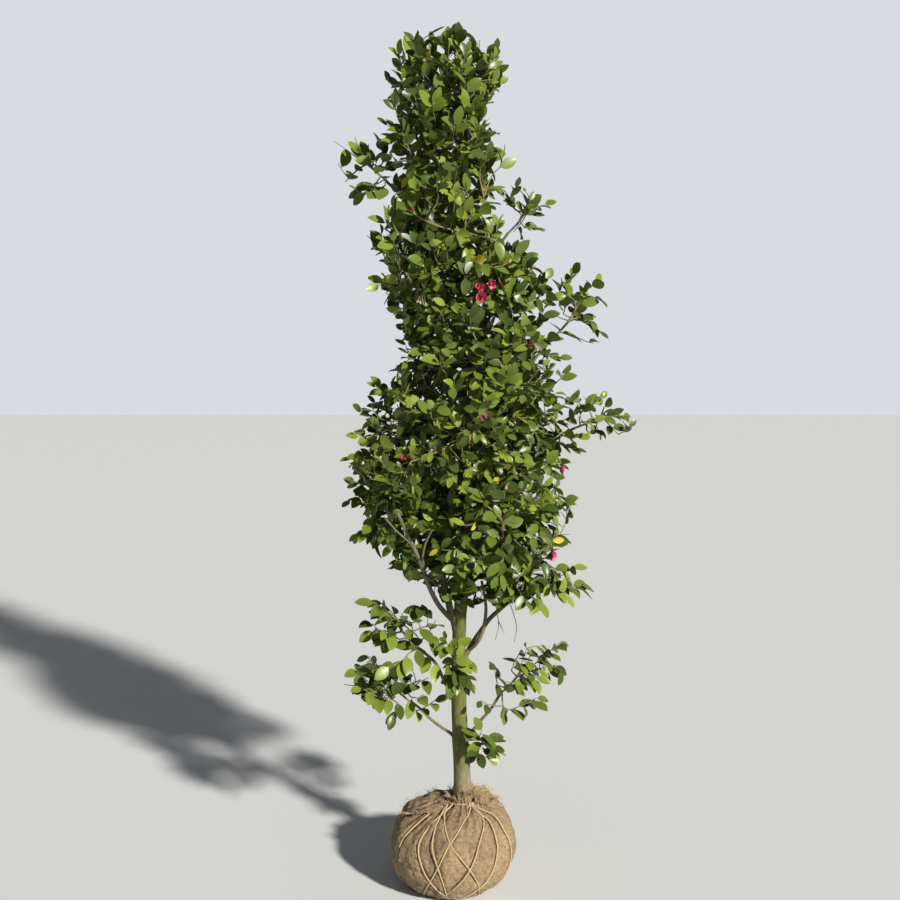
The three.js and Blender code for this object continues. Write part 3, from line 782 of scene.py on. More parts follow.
def grow(places, twigs, forks, limbs, rule):
    """Joins each place to the cheapest free fork that has room, and adds the new twig's forks."""
    limb_segments = segments_of(limbs)
    for place in places:
        free = [fork for fork in forks if not fork.taken]
        costs = [np.linalg.norm(fork.place - place) + rule.way_cost * fork.way for fork in free]
        for i in np.argsort(costs, kind="stable")[: rule.tries]:
            fork = free[i]
            length = np.linalg.norm(place - fork.place)
            if length > rule.longest:
                continue
            turn = angle_between(fork.limb.line[-1] - fork.limb.line[0], place - fork.place)
            if not rule.turn[0] <= turn <= rule.turn[1]:
                continue
            others = [twig for twig in twigs if twig is not fork.limb]
            if not is_clear(fork.place, place, limb_segments, rule.radius + rule.limb_gap):
                continue
            if others and not is_clear(fork.place, place, segments_of(others), rule.radius + rule.gap):
                continue
            break
        else:
            continue
        if length < rule.shortest:
            continue
        fork.taken = True
        twig = SimpleNamespace(
            line=np.array([fork.place, place]),
            radii=np.array([rule.radius, rule.end]),
            parent=fork.limb,
            share=fork.share,
        )
        twigs.append(twig)
        forks.extend(forks_on(twig, rule.forks, fork.way))


# %% Places that the solids' twigs reach
RAYS = 40
LITRE = 1e-6
LITRES_TO_A_TIP = 2
# The solids have larger leaves than life, smaller ones in a small mass, and room for them is kept.
LEAF_LENGTH_OF_SOLIDS = 118
LEAF_ROOM = 0.3
FULL_LEAF_REACH = 135
SMALLEST_LEAF = 0.5


def main_places(mass, seed):
    """The places that the solids' twigs reach, from the same seeds."""
    reaches = np.array([reach_of(mass, direction) for direction in spread_of(RAYS, 0)])
    cube = (reaches**3).mean()
    scale = np.clip(np.cbrt(cube) / FULL_LEAF_REACH, SMALLEST_LEAF, 1)
    tips = max(3, math.floor(4 / 3 * math.pi * cube * LITRE / (LITRES_TO_A_TIP * scale**2) + 0.5))
    random = seeded(seed)
    places = []
    for direction in spread_of(tips, next(random) * TAU):
        reach = reach_of(mass, direction)
        out = max(reach - LEAF_LENGTH_OF_SOLIDS * scale * LEAF_ROOM, reach * LEAF_ROOM)
        places.append(mass.middle + direction * out * mix(0.8, 1, next(random)))
    return places


def blossom_place(spot, side):
    x, across, depth = crown_section(spot[1])
    out = (spot[0] - x) / across
    return np.array([spot[0], side * depth * math.sqrt(1 - out * out) * BLOSSOM_INSET, spot[1]])


blossom_places = [blossom_place(spot, -1) for spot in FRONT_BLOSSOMS]
blossom_places += [blossom_place(spot, 1) for spot in BACK_BLOSSOMS]
print(len(blossom_places), "blossoms that the solids have")

# %% Grow the twigs that the solids have
MAIN_RULE = SimpleNamespace(
    forks=(0.45, 0.7, 0.94),
    stem_forks=(0.4, 0.52, 0.64, 0.76, 0.88, 0.97),
    way_cost=0.3,
    turn=(0.3, 1.9),
    radius=3,
    end=2,
    limb_gap=6,
    gap=5,
    shortest=12,
    longest=1e9,
    tries=1000,
)


def nearest_first(mass, places):
    return sorted(places, key=lambda place: np.linalg.norm(place - mass.stem.line[0]))


trunk_limb = SimpleNamespace(line=TRUNK_LINE, radii=trunk_radius(TRUNK_LINE[:, 2]))
thick_limbs = [trunk_limb, *boughs.values()]
for seed, mass in enumerate(MASSES, 1):
    blossoms = [place for place in blossom_places if in_space(mass, place[None], BLOSSOM_RADIUS)[0]]
    places = nearest_first(mass, main_places(mass, seed) + blossoms)
    other_stems = [other.stem for other in MASSES if other is not mass]
    mass.twigs = [mass.stem]
    forks = forks_on(mass.stem, MAIN_RULE.stem_forks, 0)
    grow(places, mass.twigs, forks, thick_limbs + other_stems, MAIN_RULE)
    mass.main_count = len(mass.twigs)
print(sum(mass.main_count for mass in MASSES), "main twigs")

# %% [markdown]
# ### A ragged edge
# A crown whose twigs fill its outline to the last millimetre looks clipped, as in topiary. Waves
# in space push the twigs' edge in and out here, while single leaves may reach the whole outline.
# A few bays let the sky in where the real shrub is thin, and the head thins out towards its tip.


# %% Where leaves may be
def ripples(points, length, seed, waves=24):
    """Smooth noise with hills about so long, made of sine waves in many directions."""
    random = np.random.RandomState(seed)
    ways = unit(random.normal(size=(waves, 3))) * TAU / length * random.uniform(0.7, 1.4, (waves, 1))
    return np.sin(points @ ways.T + random.uniform(0, TAU, waves)).sum(-1) / math.sqrt(waves / 2)


# Bays as seen from the front: x, height and radius.
BAYS = [
    (88, 1852, 24),
    (114, 1722, 26),
    (44, 1690, 11),
    (-104, 1688, 10),
    (-172, 1622, 34),
    (-172, 1500, 24),
    (-152, 1352, 38),
    (217, 1540, 26),
    (282, 1078, 22),
    (290, 972, 24),
    (276, 905, 20),
    (258, 816, 42),
    (-262, 880, 30),
    (8, 778, 12),
]
# Shares of the crown's half width: where the twigs end, how far waves move that, and its bounds.
EDGE = SimpleNamespace(middle=0.83, wave=0.16, least=0.52, most=0.98, length=105)
# The head narrows between two heights, by a share that waves make larger and smaller.
HEAD = SimpleNamespace(low=1880, high=1965, narrow=0.36, wave=0.2, length=70)


def in_leaf_space(points, ragged=True):
    if ragged:
        edge = EDGE.middle + EDGE.wave * ripples(points, EDGE.length, 7)
        edge = np.clip(edge, EDGE.least, EDGE.most)
    else:
        narrow = HEAD.narrow - HEAD.wave * ripples(points, HEAD.length, 9)
        edge = 1.0 - smoothstep(points[:, 2], HEAD.low, HEAD.high) * narrow
    inside = in_crown(points, edge)
    for bay_x, height, radius in BAYS:
        inside &= np.hypot(points[:, 0] - bay_x, points[:, 2] - height) > radius
    return inside


print(len(BAYS), "bays in the crown")

# %% [markdown]
# ### Fine twigs
# The second round spreads many more places through each mass, thickest near the outside of the
# crown, where the light is. Now a twig may also carry straight on from its parent.

# %% Grow the fine twigs
FINE_SPACING = 33.5
SPRAY_SPACING = 62
PLACE_SHIFT = 0.42
SHARE_INSIDE = 0.85
FINE_RULE = SimpleNamespace(
    forks=(0.35, 0.65, 1.0),
    way_cost=0.22,
    turn=(0.0, 1.35),
    radius=1.3,
    end=0.9,
    limb_gap=3,
    gap=1,
    shortest=14,
    longest=150,
    tries=24,
)


def fine_places(mass, seed):
    random = np.random.RandomState(seed)
    spacing = SPRAY_SPACING if mass.spray else FINE_SPACING
    steps = np.arange(-8, 9) * spacing
    grid = np.stack(np.meshgrid(steps, steps, steps), axis=-1).reshape(-1, 3)
    places = mass.middle + grid + random.uniform(-PLACE_SHIFT, PLACE_SHIFT, grid.shape) * spacing
    places = places[in_space(mass, places)]
    if mass.spray:
        return places
    places = places[in_leaf_space(places)]
    share = mix(SHARE_INSIDE, 1.0, smoothstep(crown_share(places), 0.25, 0.55))
    return places[random.uniform(size=len(places)) < share]


for seed, mass in enumerate(MASSES, 101):
    places = nearest_first(mass, fine_places(mass, seed))
    forks = forks_on(mass.stem, np.arange(0.3, 1.01, 0.1), 0)
    for twig in mass.twigs[1:]:
        forks += forks_on(twig, np.arange(0.2, 1.01, 0.1), 0)
    grow(places, mass.twigs, forks, thick_limbs, FINE_RULE)
print(sum(len(mass.twigs) - mass.main_count for mass in MASSES), "fine twigs")


# %% [markdown]
# ### Bending the twigs
# Straight twigs look like wire. Each one leaves in its parent's direction and turns up towards
# its tip. Its foot is taken from the parent's bent line, so that no twig comes loose.


# %% Bend the twigs
# Shares of the twig's length: how far its parent leads it, how far it sags, and a sway by chance.
TWIG_BEND = SimpleNamespace(lead=0.13, sag=0.07, sway=0.06)


def bend_twig(twig, random):
    start, end = twig.line
    if hasattr(twig, "parent"):
        start = curve_between(*twig.parent.course, [twig.share])[0]
        parent_way = unit(twig.parent.line[-1] - twig.parent.line[0])
    else:
        parent_way = unit(end - start)
    length = np.linalg.norm(end - start)
    sway = random.uniform(-TWIG_BEND.sway, TWIG_BEND.sway, 3)
    shift = parent_way * TWIG_BEND.lead - UP * TWIG_BEND.sag + sway
    bend = mix(start, end, 0.5) + shift * length
    twig.course = (start, bend, end)
    twig.path = curve_between(start, bend, end, np.linspace(0, 1, 7))


bend_random = np.random.RandomState(5)
for mass in MASSES:
    for twig in mass.twigs:
        bend_twig(twig, bend_random)
print(sum(len(mass.twigs) for mass in MASSES), "twigs bent")

# %% [markdown]
# ### Shoots laid one by one
# The open sprays below the crown and beside it have so few shoots that a viewer takes in each
# one, and so do the ragged edges of the crown. A rule with chance in it would put them elsewhere,
# so their courses are read off the picture and listed. Each starts on the nearest limb of its own
# mass.

# %% Courses of the shoots
# Mass: the length of the shoots' leaves against the crown's, and their courses after the foot.
SHOOTS = {
    "spray_left_upper": (1.22, [
        [(-72, -18, 612), (-112, -24, 652), (-150, -26, 686), (-188, -28, 712)],
        [(-62, -25, 625), (-38, -30, 668)],
        [(-112, -10, 612), (-150, -6, 622), (-192, 2, 632)],
        [(-120, 10, 640), (-146, 34, 668), (-172, 48, 690)],
        [(-84, -40, 600), (-92, -62, 618)],
        [(-90, -30, 640), (-112, -50, 686)],
        [(-134, -10, 628), (-164, -42, 648)],
        [(-66, -24, 590), (-44, -44, 572), (-26, -54, 556)],
        [(-56, -20, 632), (-34, -38, 622)],
        [(-96, -40, 596), (-122, -62, 574), (-152, -70, 566)],
        [(-70, -36, 640), (-80, -54, 680)],
    ]),
    "spray_left_lower": (1.12, [
        [(-139, 5, 466), (-188, 0, 490), (-230, -6, 536)],
        [(-150, -20, 470), (-184, -42, 484), (-218, -48, 508)],
        [(-112, -18, 492), (-124, -30, 540)],
        [(-150, 20, 490), (-176, 44, 522), (-206, 62, 548)],
        [(-92, -26, 470), (-66, -36, 486)],
        [(-170, -10, 496), (-186, -20, 545)],
        [(-120, 30, 470), (-130, 62, 500)],
        [(-190, 6, 486), (-216, 22, 480)],
        [(-92, -14, 436), (-64, -32, 452), (-40, -44, 474)],
        [(-104, -10, 486), (-78, -30, 514), (-56, -38, 528)],
        [(-126, -40, 462), (-140, -62, 446)],
        [(-158, -40, 500), (-170, -58, 526)],
    ]),
    "spray_right": (1.08, [
        [(160, -5, 512), (206, -8, 556), (262, -10, 606)],
        [(128, -20, 440), (168, -32, 456), (206, -34, 476)],
        [(146, 12, 530), (166, 28, 566)],
        [(112, -12, 500), (104, -20, 552)],
        [(166, -20, 520), (206, -34, 528)],
        [(186, -14, 544), (190, -20, 588)],
        [(150, 30, 490), (190, 48, 506)],
        [(92, -20, 452), (70, -34, 470)],
    ]),
    "trunk_tuft": (1.12, [
        [(74, -40, 352), (96, -46, 372)],
        [(64, -50, 372), (72, -60, 404)],
        [(84, -30, 340), (108, -28, 344)],
        [(60, -62, 350), (66, -78, 352)],
    ]),
    "trunk_sprout": (0.92, [
        [(10, -60, 566), (-6, -64, 604), (-14, -66, 634)],
        [(24, -62, 548), (40, -68, 528)],
        [(8, -64, 536), (2, -72, 512)],
    ]),
    "sprig_right_high": (1.0, [
        [(258, 5, 1400), (292, 5, 1436), (334, 4, 1466)],
        [(266, 0, 1440), (280, -6, 1492)],
        [(306, -8, 1378), (346, -14, 1352)],
        [(248, -18, 1420), (250, -30, 1456)],
        [(280, 20, 1392), (300, 34, 1410)],
    ]),
    "sprig_right_middle": (0.86, [
        [(330, -22, 1152), (372, -24, 1158), (402, -24, 1160)],
        [(322, -32, 1176), (346, -40, 1202)],
        [(340, -8, 1136), (352, 4, 1116)],
        [(300, -10, 1150), (318, 14, 1180), (340, 26, 1192)],
        [(300, -40, 1146), (330, -58, 1150)],
    ]),
    "sprig_right_top": (0.98, [
        [(150, -6, 1608), (188, -6, 1636), (214, -6, 1644)],
        [(134, -18, 1640), (146, -24, 1682)],
        [(168, 18, 1596), (196, 28, 1590)],
        [(160, -30, 1620), (176, -44, 1650)],
    ]),
    "sprig_left_top": (1.22, [
        [(-176, -5, 1722), (-212, -8, 1746)],
        [(-152, -15, 1744), (-166, -20, 1776)],
        [(-170, 4, 1694), (-206, 8, 1678)],
        [(-176, 20, 1730), (-194, 34, 1758)],
        [(-152, -24, 1700), (-174, -40, 1684)],
        [(-146, -10, 1692), (-186, -16, 1674), (-210, -18, 1668)],
    ]),
    "high_left": (1.1, [
        [(-118, -40, 1738), (-150, -52, 1722)],
        [(-112, -50, 1790), (-134, -62, 1776)],
        [(-120, -10, 1812), (-146, -14, 1820)],
    ]),
    "upper_right": (1.0, [
        [(188, -44, 1420), (226, -50, 1430)],
        [(186, -10, 1450), (216, -8, 1476)],
        [(176, 40, 1440), (206, 52, 1452)],
    ]),
    "lower_left": (0.95, [
        [(-192, -40, 1050), (-236, -46, 1064)],
        [(-196, -20, 972), (-240, -24, 958)],
        [(-188, -70, 1000), (-224, -84, 1012)],
        [(-190, -50, 900), (-226, -58, 884)],
        [(-186, 50, 1020), (-226, 66, 1032)],
        [(-160, -90, 930), (-190, -112, 916)],
    ]),
    "middle_left": (0.92, [
        [(-170, -40, 1150), (-208, -46, 1172)],
        [(-140, -44, 1196), (-176, -50, 1230)],
        [(-150, 40, 1160), (-186, 56, 1184)],
        [(-176, -60, 1108), (-214, -72, 1116)],
    ]),
    "middle_right": (0.95, [
        [(256, -24, 1146), (300, -30, 1176)],
        [(250, -40, 1116), (292, -50, 1112)],
        [(246, 20, 1166), (288, 30, 1192)],
        [(256, -10, 1090), (296, -12, 1078)],
    ]),
    "waist_front": (0.95, [
        [(190, -90, 1332), (226, -88, 1338)],
        [(206, -50, 1302), (246, -52, 1296)],
        [(60, -160, 1330), (70, -178, 1318)],
        [(-70, -130, 1310), (-102, -140, 1290)],
    ]),
    "upper_left": (1.05, [
        [(-140, -30, 1540), (-176, -36, 1552)],
        [(-136, -60, 1470), (-166, -70, 1460)],
        [(-120, 40, 1500), (-150, 60, 1512)],
    ]),
    "top_tip": (1.0, [
        [(-36, -5, 1955), (-44, -5, 1998)],
        [(-12, 2, 1950), (-14, 3, 1984)],
        [(8, -6, 1960), (12, -6, 2022)],
        [(-78, -10, 1940), (-98, -12, 1996)],
        [(62, 0, 1928), (84, 0, 1978)],
        [(84, -10, 1900), (112, -12, 1912)],
        [(-112, -20, 1890), (-140, -24, 1912)],
        [(20, 40, 1940), (34, 62, 1972)],
        [(-40, 44, 1935), (-52, 66, 1968)],
    ]),
    "skirt_right": (1.2, [
        [(236, -20, 752), (276, -24, 748), (316, -24, 752)],
        [(232, -50, 762), (262, -72, 744)],
        [(200, -60, 744), (208, -84, 726)],
        [(228, 30, 756), (270, 44, 746)],
        [(176, -76, 752), (172, -104, 736)],
        [(262, 6, 774), (296, 10, 786)],
    ]),
}
print(len(SHOOTS), "masses with shoots")

# %% Lay the shoots
LEAVES_ON_SHOOT = 14
LEAVES_ON_BARE_SHOOT = 3
SHOOT_STEPS = 12


def nearest_on(paths, point):
    feet = np.concatenate(paths)
    return feet[np.argmin(np.linalg.norm(feet - point, axis=1))]


def lay_shoot(mass, paths, course, leaf, most):
    foot = nearest_on(paths, np.array(course[0], float))
    path = evenly(spline([foot, *course], 0.25, 20), SHOOT_STEPS)
    mass.shoots.append(SimpleNamespace(path=path, leaf=leaf, most=most))


for mass in MASSES:
    mass.leaf = 1.0
    mass.shoots = []
    mass.main_paths = [twig.path for twig in mass.twigs[: mass.main_count]]
for mass_name, (leaf_share, courses) in SHOOTS.items():
    mass = mass_named[mass_name]
    if mass.spray:
        mass.leaf = leaf_share
    for course in courses:
        lower_halves = [shoot.path[: len(shoot.path) // 2 + 2] for shoot in mass.shoots]
        lay_shoot(mass, mass.main_paths + lower_halves, course, leaf_share, LEAVES_ON_SHOOT)
print(sum(len(mass.shoots) for mass in MASSES), "shoots laid by hand")

# %% [markdown]
# ### Stray shoots
# Seen from the front, a crown without them looks as clipped as its edges did. So single shoots
# also stand out of it towards the viewer, and as many at the back. They are dealt out by chance
# from a fixed seed, and most carry so few leaves that their twigs show.

# %% Lay stray shoots on the front and the back
STRAYS = 120
STRAY_DEPTH = 206
STRAY_HEIGHTS = (800, 1960)
STRAY_BEARINGS = (-64, 64)
# Of every five stray shoots, so many are leafy.
LEAFY_STRAYS = 2
stray_random = np.random.RandomState(61)


def stray_point(height, bearing, share, rise):
    """A point at a share of the crown's half width, and higher by a rise."""
    x, across, depth = crown_section(height)
    y = np.clip(math.sin(bearing) * depth * share, -STRAY_DEPTH, STRAY_DEPTH)
    return np.array([x + math.cos(bearing) * across * min(share, 0.97), y, height + rise])


for k in range(STRAYS):
    height = stray_random.uniform(*STRAY_HEIGHTS)
    bearing = math.radians(stray_random.uniform(*STRAY_BEARINGS) + (90 if k % 2 else -90))
    steps = ((0.80, 0), (0.93, 14), (stray_random.uniform(1.02, 1.18), 34))
    course = [stray_point(height, bearing, share, rise) for share, rise in steps]
    mass = MASSES[np.argmin(np.linalg.norm(MIDDLES - course[1], axis=1))]
    if not mass.spray:
        most = LEAVES_ON_SHOOT if k % 5 < LEAFY_STRAYS else LEAVES_ON_BARE_SHOOT
        lay_shoot(mass, mass.main_paths, course, stray_random.uniform(0.8, 1.1), most)
print(sum(len(mass.shoots) for mass in MASSES), "shoots in all")

# %% [markdown]
# ### Limbs that the solids leave out
# Two limbs show at the crown's foot that would run through the spaces of other masses, so the
# solids don't have them. One forks from the lowest bough on the left and comes forward with forks
# of its own, and the other rises beside the skirt's bough on the right. Their courses are listed,
# and leaves keep out of a narrow window before them.

# %% Lay the extra limbs
# Course from about its foot, and the radius at its foot and tip.
FRONT_LIMB = [
    (4, 6, 652),
    (-24, -10, 690),
    (-42, -42, 728),
    (-57, -80, 774),
    (-70, -114, 824),
    (-94, -154, 891),
    (-122, -166, 956),
]
EXTRA_LIMBS = [
    (FRONT_LIMB, (6.6, 3.6)),
    ([(-66, -106, 812), (-66, -132, 850), (-60, -148, 880), (-46, -160, 912)], (3.8, 2.4)),
    ([(-82, -140, 866), (-98, -154, 888), (-120, -158, 908), (-150, -150, 940)], (3.2, 1.8)),
    ([(44, -6, 576), (64, -16, 612), (78, -22, 652), (82, -20, 700), (72, -12, 760)], (5.4, 3.2)),
]
WINDOW_HALF_WIDTH = 15
WINDOW_BEHIND = 12


def hides_limb(points):
    """Which points lie before an extra limb, as the camera sees them."""
    eye = np.array(camera.location) / MM
    hidden = np.zeros(len(points), bool)
    for course, _ in EXTRA_LIMBS:
        line = spline(course, 0.25, 12)
        spot, limb = ((p - eye) / (p[:, 1:2] - eye[1]) * -eye[1] for p in (points, line))
        near = np.hypot(spot[:, None, 0] - limb[:, 0], spot[:, None, 2] - limb[:, 2]) < WINDOW_HALF_WIDTH
        hidden |= (near & (points[:, None, 1] < line[:, 1] + WINDOW_BEHIND)).any(axis=1)
    return hidden


print(len(EXTRA_LIMBS), "extra limbs and forks")

# %% Thickness of the twigs
# Radius at the foot and at the tip.
MAIN_TWIG = (2.4, 1.5)
FINE_TWIG = (1.35, 0.85)
SHOOT_TWIG = (1.9, 0.9)
DEAD_TWIG = (1.3, 0.7)
# Dead ends hang bare from the crown's underside, and one stands out at the top on the left.
DEAD_ENDS = [
    [(96, -20, 742), (108, -34, 690), (112, -40, 656), (104, -42, 622)],
    [(112, -40, 668), (126, -44, 640)],
    [(128, -20, 736), (146, -28, 690), (156, -30, 648), (150, -32, 614)],
    [(-22, -30, 792), (-40, -40, 752), (-38, -44, 716)],
    [(-212, -8, 1746), (-244, -10, 1770), (-268, -12, 1786)],
]


def taper(thickness, line):
    """A radius for each point of a line, from its foot to its tip."""
    return mix(*thickness, np.linspace(0, 1, len(line)))


main_lines, main_radii, fine_lines, fine_radii = [], [], [], []
for mass in MASSES:
    for i, twig in enumerate(mass.twigs):
        if i < mass.main_count:
            main_lines.append(twig.path)
            main_radii.append(taper(MAIN_TWIG if i else twig.radii, twig.path))
        else:
            fine_lines.append(twig.path)
            fine_radii.append(taper(FINE_TWIG, twig.path))
    for shoot in mass.shoots:
        main_lines.append(shoot.path)
        main_radii.append(taper(SHOOT_TWIG, shoot.path))
for course in DEAD_ENDS:
    line = evenly(spline(course, 0.25, 20), SHOOT_STEPS)
    fine_lines.append(line)
    fine_radii.append(taper(DEAD_TWIG, line))
print(len(main_lines), "twigs and shoots,", len(fine_lines), "fine twigs and dead ends")

# %% Make the twigs
CROWN_NODES = [mass.name for mass in MASSES]
main_twigs = swept("twigs", main_lines, main_radii, step=0.02, sides=7, material=TWIG_BARK)
finish_piece(main_twigs, CROWN_NODES)
fine_twigs = swept("fine_twigs", fine_lines, fine_radii, step=0.014, sides=5, material=YOUNG_BARK)
finish_piece(fine_twigs, CROWN_NODES)

# %% [markdown]
# ## Trunk and boughs
# The trunk has a slight flare at its foot and swells where a bough leaves it, as the bough does
# where it joins. A lathe could turn the trunk, but not its bends, so it is swept along its middle
# line like the boughs. The sweep's relief gives the bark its long, shallow furrows.

# %% Trunk with bark
# The flare fades upwards from its foot, and a swelling on both sides of a height.
FLARE = SimpleNamespace(share=0.10, foot=196, fade=22)
SWELLING = SimpleNamespace(share=0.16, above=8, width=22)
BELOW_NECK = 8
trunk_course = evenly(spline(TRUNK_STATIONS[:, :3], 0.25, 60), 240)
trunk_course = np.concatenate([trunk_course[:1] - UP * BELOW_NECK, trunk_course])
trunk_height = trunk_course[:, 2]
trunk_girth = trunk_radius(trunk_height)
trunk_girth = trunk_girth * (1 + FLARE.share * np.exp(-(trunk_height - FLARE.foot) / FLARE.fade))
for _, _, height, radius, _, _ in BOUGHS:
    swell = bell(trunk_height - height - SWELLING.above, SWELLING.width)
    trunk_girth = trunk_girth + radius * SWELLING.share * swell
BARK_STEP = 0.004
trunk_bark = {"step": BARK_STEP, "sides": 40, "relief": 0.0030, "relief_scale": 55.0, "material": TRUNK_BARK}
trunk = swept("trunk_with_bark", [trunk_course], [trunk_girth], **trunk_bark)
finish_piece(trunk, ["trunk"])

# %% Boughs with bark
COLLAR = SimpleNamespace(share=0.55, fade=11)
WANDER = SimpleNamespace(share=0.022, wave=110, seeds=(41, 42, 43))
bough_lines, bough_radii = [], []
for (_, _, height, radius, end_radius, _), bough in zip(BOUGHS, boughs.values()):
    shares = np.linspace(0, 1, 40)
    line = curve_between(*bough.course, shares)
    length = np.linalg.norm(line[-1] - line[0])
    wander = np.stack([ripples(line, WANDER.wave, seed) for seed in WANDER.seeds], axis=1)
    line = line + wander * (np.sin(math.pi * shares) * length * WANDER.share)[:, None]
    out = np.linalg.norm(line - line[0], axis=1) - trunk_radius(height)
    swell = 1 + COLLAR.share * np.exp(-np.maximum(out, 0) / COLLAR.fade)
    bough_lines.append(line)
    bough_radii.append(taper((radius, end_radius), line) * swell)
for course, thickness in EXTRA_LIMBS:
    foot = nearest_on(bough_lines, np.array(course[0], float))
    line = spline([foot, *course[1:]], 0.25, 20)
    bough_lines.append(line)
    bough_radii.append(taper(thickness, line))
bough_bark = {"step": BARK_STEP, "sides": 18, "relief": 0.0016, "relief_scale": 70.0, "material": BOUGH_BARK}
bough_piece = swept("boughs_with_bark", bough_lines, bough_radii, **bough_bark)
finish_piece(bough_piece, list(boughs))

# %% [markdown]
# ## Leaves
# A camellia leaf is a blunt oval four to five centimetres long, folded a little along its rib and
# curled down at its tip, dark and glossy above and paler below. A flat card would be lighter, but
# it has no thickness and one colour. So the pattern is one leaf of unit length with two skins that
# meet at a crisp edge, and each spray of leaves gets one tint.

# %% A thin blade for leaves and petals
def blade_pattern(name, grid, skin):
    """A thin closed blade from a grid of points: an upper skin, and a lower one marked "under".

    The two share the grid's border, which is a sharp edge.
    """
    rows, columns = grid.shape[:2]
    lower = grid.copy()
    lower[1:-1, 1:-1, 2] -= skin
    number = np.arange(rows * columns).reshape(rows, columns)
    beneath = number.copy()
    inner = (rows - 2) * (columns - 2)
    beneath[1:-1, 1:-1] = rows * columns + np.arange(inner).reshape(rows - 2, columns - 2)
    points = np.concatenate([grid.reshape(-1, 3), lower[1:-1, 1:-1].reshape(-1, 3)])

    def quads(of):
        corners = np.stack([of[:-1, :-1], of[1:, :-1], of[1:, 1:], of[:-1, 1:]], axis=-1)
        return corners.reshape(-1, 4).tolist()

    upper_faces = [face[::-1] for face in quads(number)]
    lower_faces = quads(beneath)
    made = new_object(name, points / MM, (), upper_faces + lower_faces)
    layer = made.data.attributes.new("under", "BOOLEAN", "FACE")
    layer.data.foreach_set("value", [False] * len(upper_faces) + [True] * len(lower_faces))
    inner_points = set(number[1:-1, 1:-1].ravel().tolist()) | set(range(rows * columns, len(points)))
    crisp = made.data.attributes.new("sharp_edge", "BOOLEAN", "EDGE")
    crisp.data.foreach_set("value", [not inner_points & set(edge.vertices) for edge in made.data.edges])
    print(name, triangles_in(made), "triangles")
    return made

# %% One leaf as a pattern
# Place along the rib, half width, and rise of the rib above a straight line.
LEAF_ROWS = np.array([
    (0.00, 0.014, 0.000),
    (0.08, 0.026, 0.006),
    (0.19, 0.178, 0.014),
    (0.36, 0.272, 0.020),
    (0.56, 0.288, 0.016),
    (0.75, 0.230, -0.002),
    (0.90, 0.120, -0.026),
    (1.00, 0.004, -0.052),
])
LEAF_FOLD = 0.23
LEAF_SKIN = 0.008


def across_leaf(at, half, rise):
    return [(at, side * half, rise + abs(side) * half * LEAF_FOLD) for side in (1, 0, -1)]


leaf = blade_pattern("leaf pattern", np.array([across_leaf(*row) for row in LEAF_ROWS]), LEAF_SKIN)

# %% [markdown]
# ### Where the leaves stand
# Leaves stand one after another round the outer part of each twig, and turn their upper side to
# the light. On the open sprays and shoots they lie in two ranks, left and right. A leaf that would
# leave the crown, touch a limb or hide an extra limb is tried again, and after a few tries it is
# left out.

# %% How leaves stand along a twig
LEAF_LENGTH = 43
LEAF_WIDTH = (0.84, 1.12)
LEAF_APART = 9
LEAVES_ON_FINE = 5
LEAVES_ON_MAIN = 5
LEAVES_ON_YELLOW = 1
# Sizes of single leaves against the others: the first at a twig's tip, and a yellow one.
TIP_LEAF = 0.82
YELLOW_LEAF = 0.85
LEAF_SIZES = (0.74, 1.14)
# How far a leaf's foot may slip along the twig, as a share of the way to the next leaf.
FOOT_SLIP = 0.35
# A leaf faces out of the crown, up and to the sun by these shares, and strays by chance.
CROWN_LOOK = SimpleNamespace(out=0.65, up=0.5, light=0.0, stray=0.75, ranks=False, apart=1.0, bare=0.05)
SPRAY_LOOK = SimpleNamespace(out=0.3, up=0.35, light=1.1, stray=0.60, ranks=True, apart=1.25, bare=0.14)
TUFT_LOOK = SimpleNamespace(out=0.5, up=0.4, light=0.6, stray=0.70, ranks=False, apart=0.7, bare=0.05)
leaf_random = np.random.RandomState(11)
tint_shares = np.array([weight for _, _, weight in LEAF_TINTS.values()], float)
GREEN, YELLOW = (list(LEAF_TINTS).index(tint) for tint in ("green", "yellow"))


def leaves_of(mass, twig, most, look, size, free):
    """The leaves of one twig, from its tip inwards."""
    along = run_along(twig.path)
    length = along[-1]
    apart = LEAF_APART * look.apart * size
    tint = leaf_random.choice(len(tint_shares), p=tint_shares / tint_shares.sum())
    if tint == YELLOW and (mass.spray or free):
        tint = GREEN
    if tint == YELLOW:
        most, size = LEAVES_ON_YELLOW, size * YELLOW_LEAF
    for k in range(int(min(most, length * (1 - look.bare) // apart))):
        at = length - k * apart - leaf_random.uniform(0, apart * FOOT_SLIP)
        at = max(at, length * 0.05)
        here, before = (points_at(twig.path, mark, along) for mark in (at, max(at - 3, 0)))
        yield SimpleNamespace(
            foot=here,
            way=unit(here - before),
            order=k,
            tint=tint,
            look=look,
            size=size * leaf_random.uniform(*LEAF_SIZES) * (TIP_LEAF if k == 0 else 1.0),
            free=free,
        )


# %% Find a foot for every leaf
leaves = []
for mass in MASSES:
    look = SPRAY_LOOK if mass.spray else CROWN_LOOK
    if mass.name.startswith("trunk"):
        look = TUFT_LOOK
    for i, twig in enumerate(mass.twigs[1:], 1):
        most = LEAVES_ON_MAIN if i < mass.main_count else LEAVES_ON_FINE
        leaves += leaves_of(mass, twig, most, look, mass.leaf, False)
    for shoot in mass.shoots:
        leaves += leaves_of(mass, shoot, shoot.most, look if mass.spray else SPRAY_LOOK, shoot.leaf, True)
print(len(leaves), "places for leaves")


# %% Gather the leaves' feet and habits in columns
# Height, length of the leaves there, and how far they hang.
LEAF_HABIT = np.array([
    (700, 1.18, 0.6),
    (860, 1.08, 0.4),
    (980, 0.90, 0.2),
    (1300, 0.87, 0.05),
    (1500, 1.04, -0.1),
    (2000, 1.08, -0.4),
])


def column(values):
    return np.array(list(values), float)


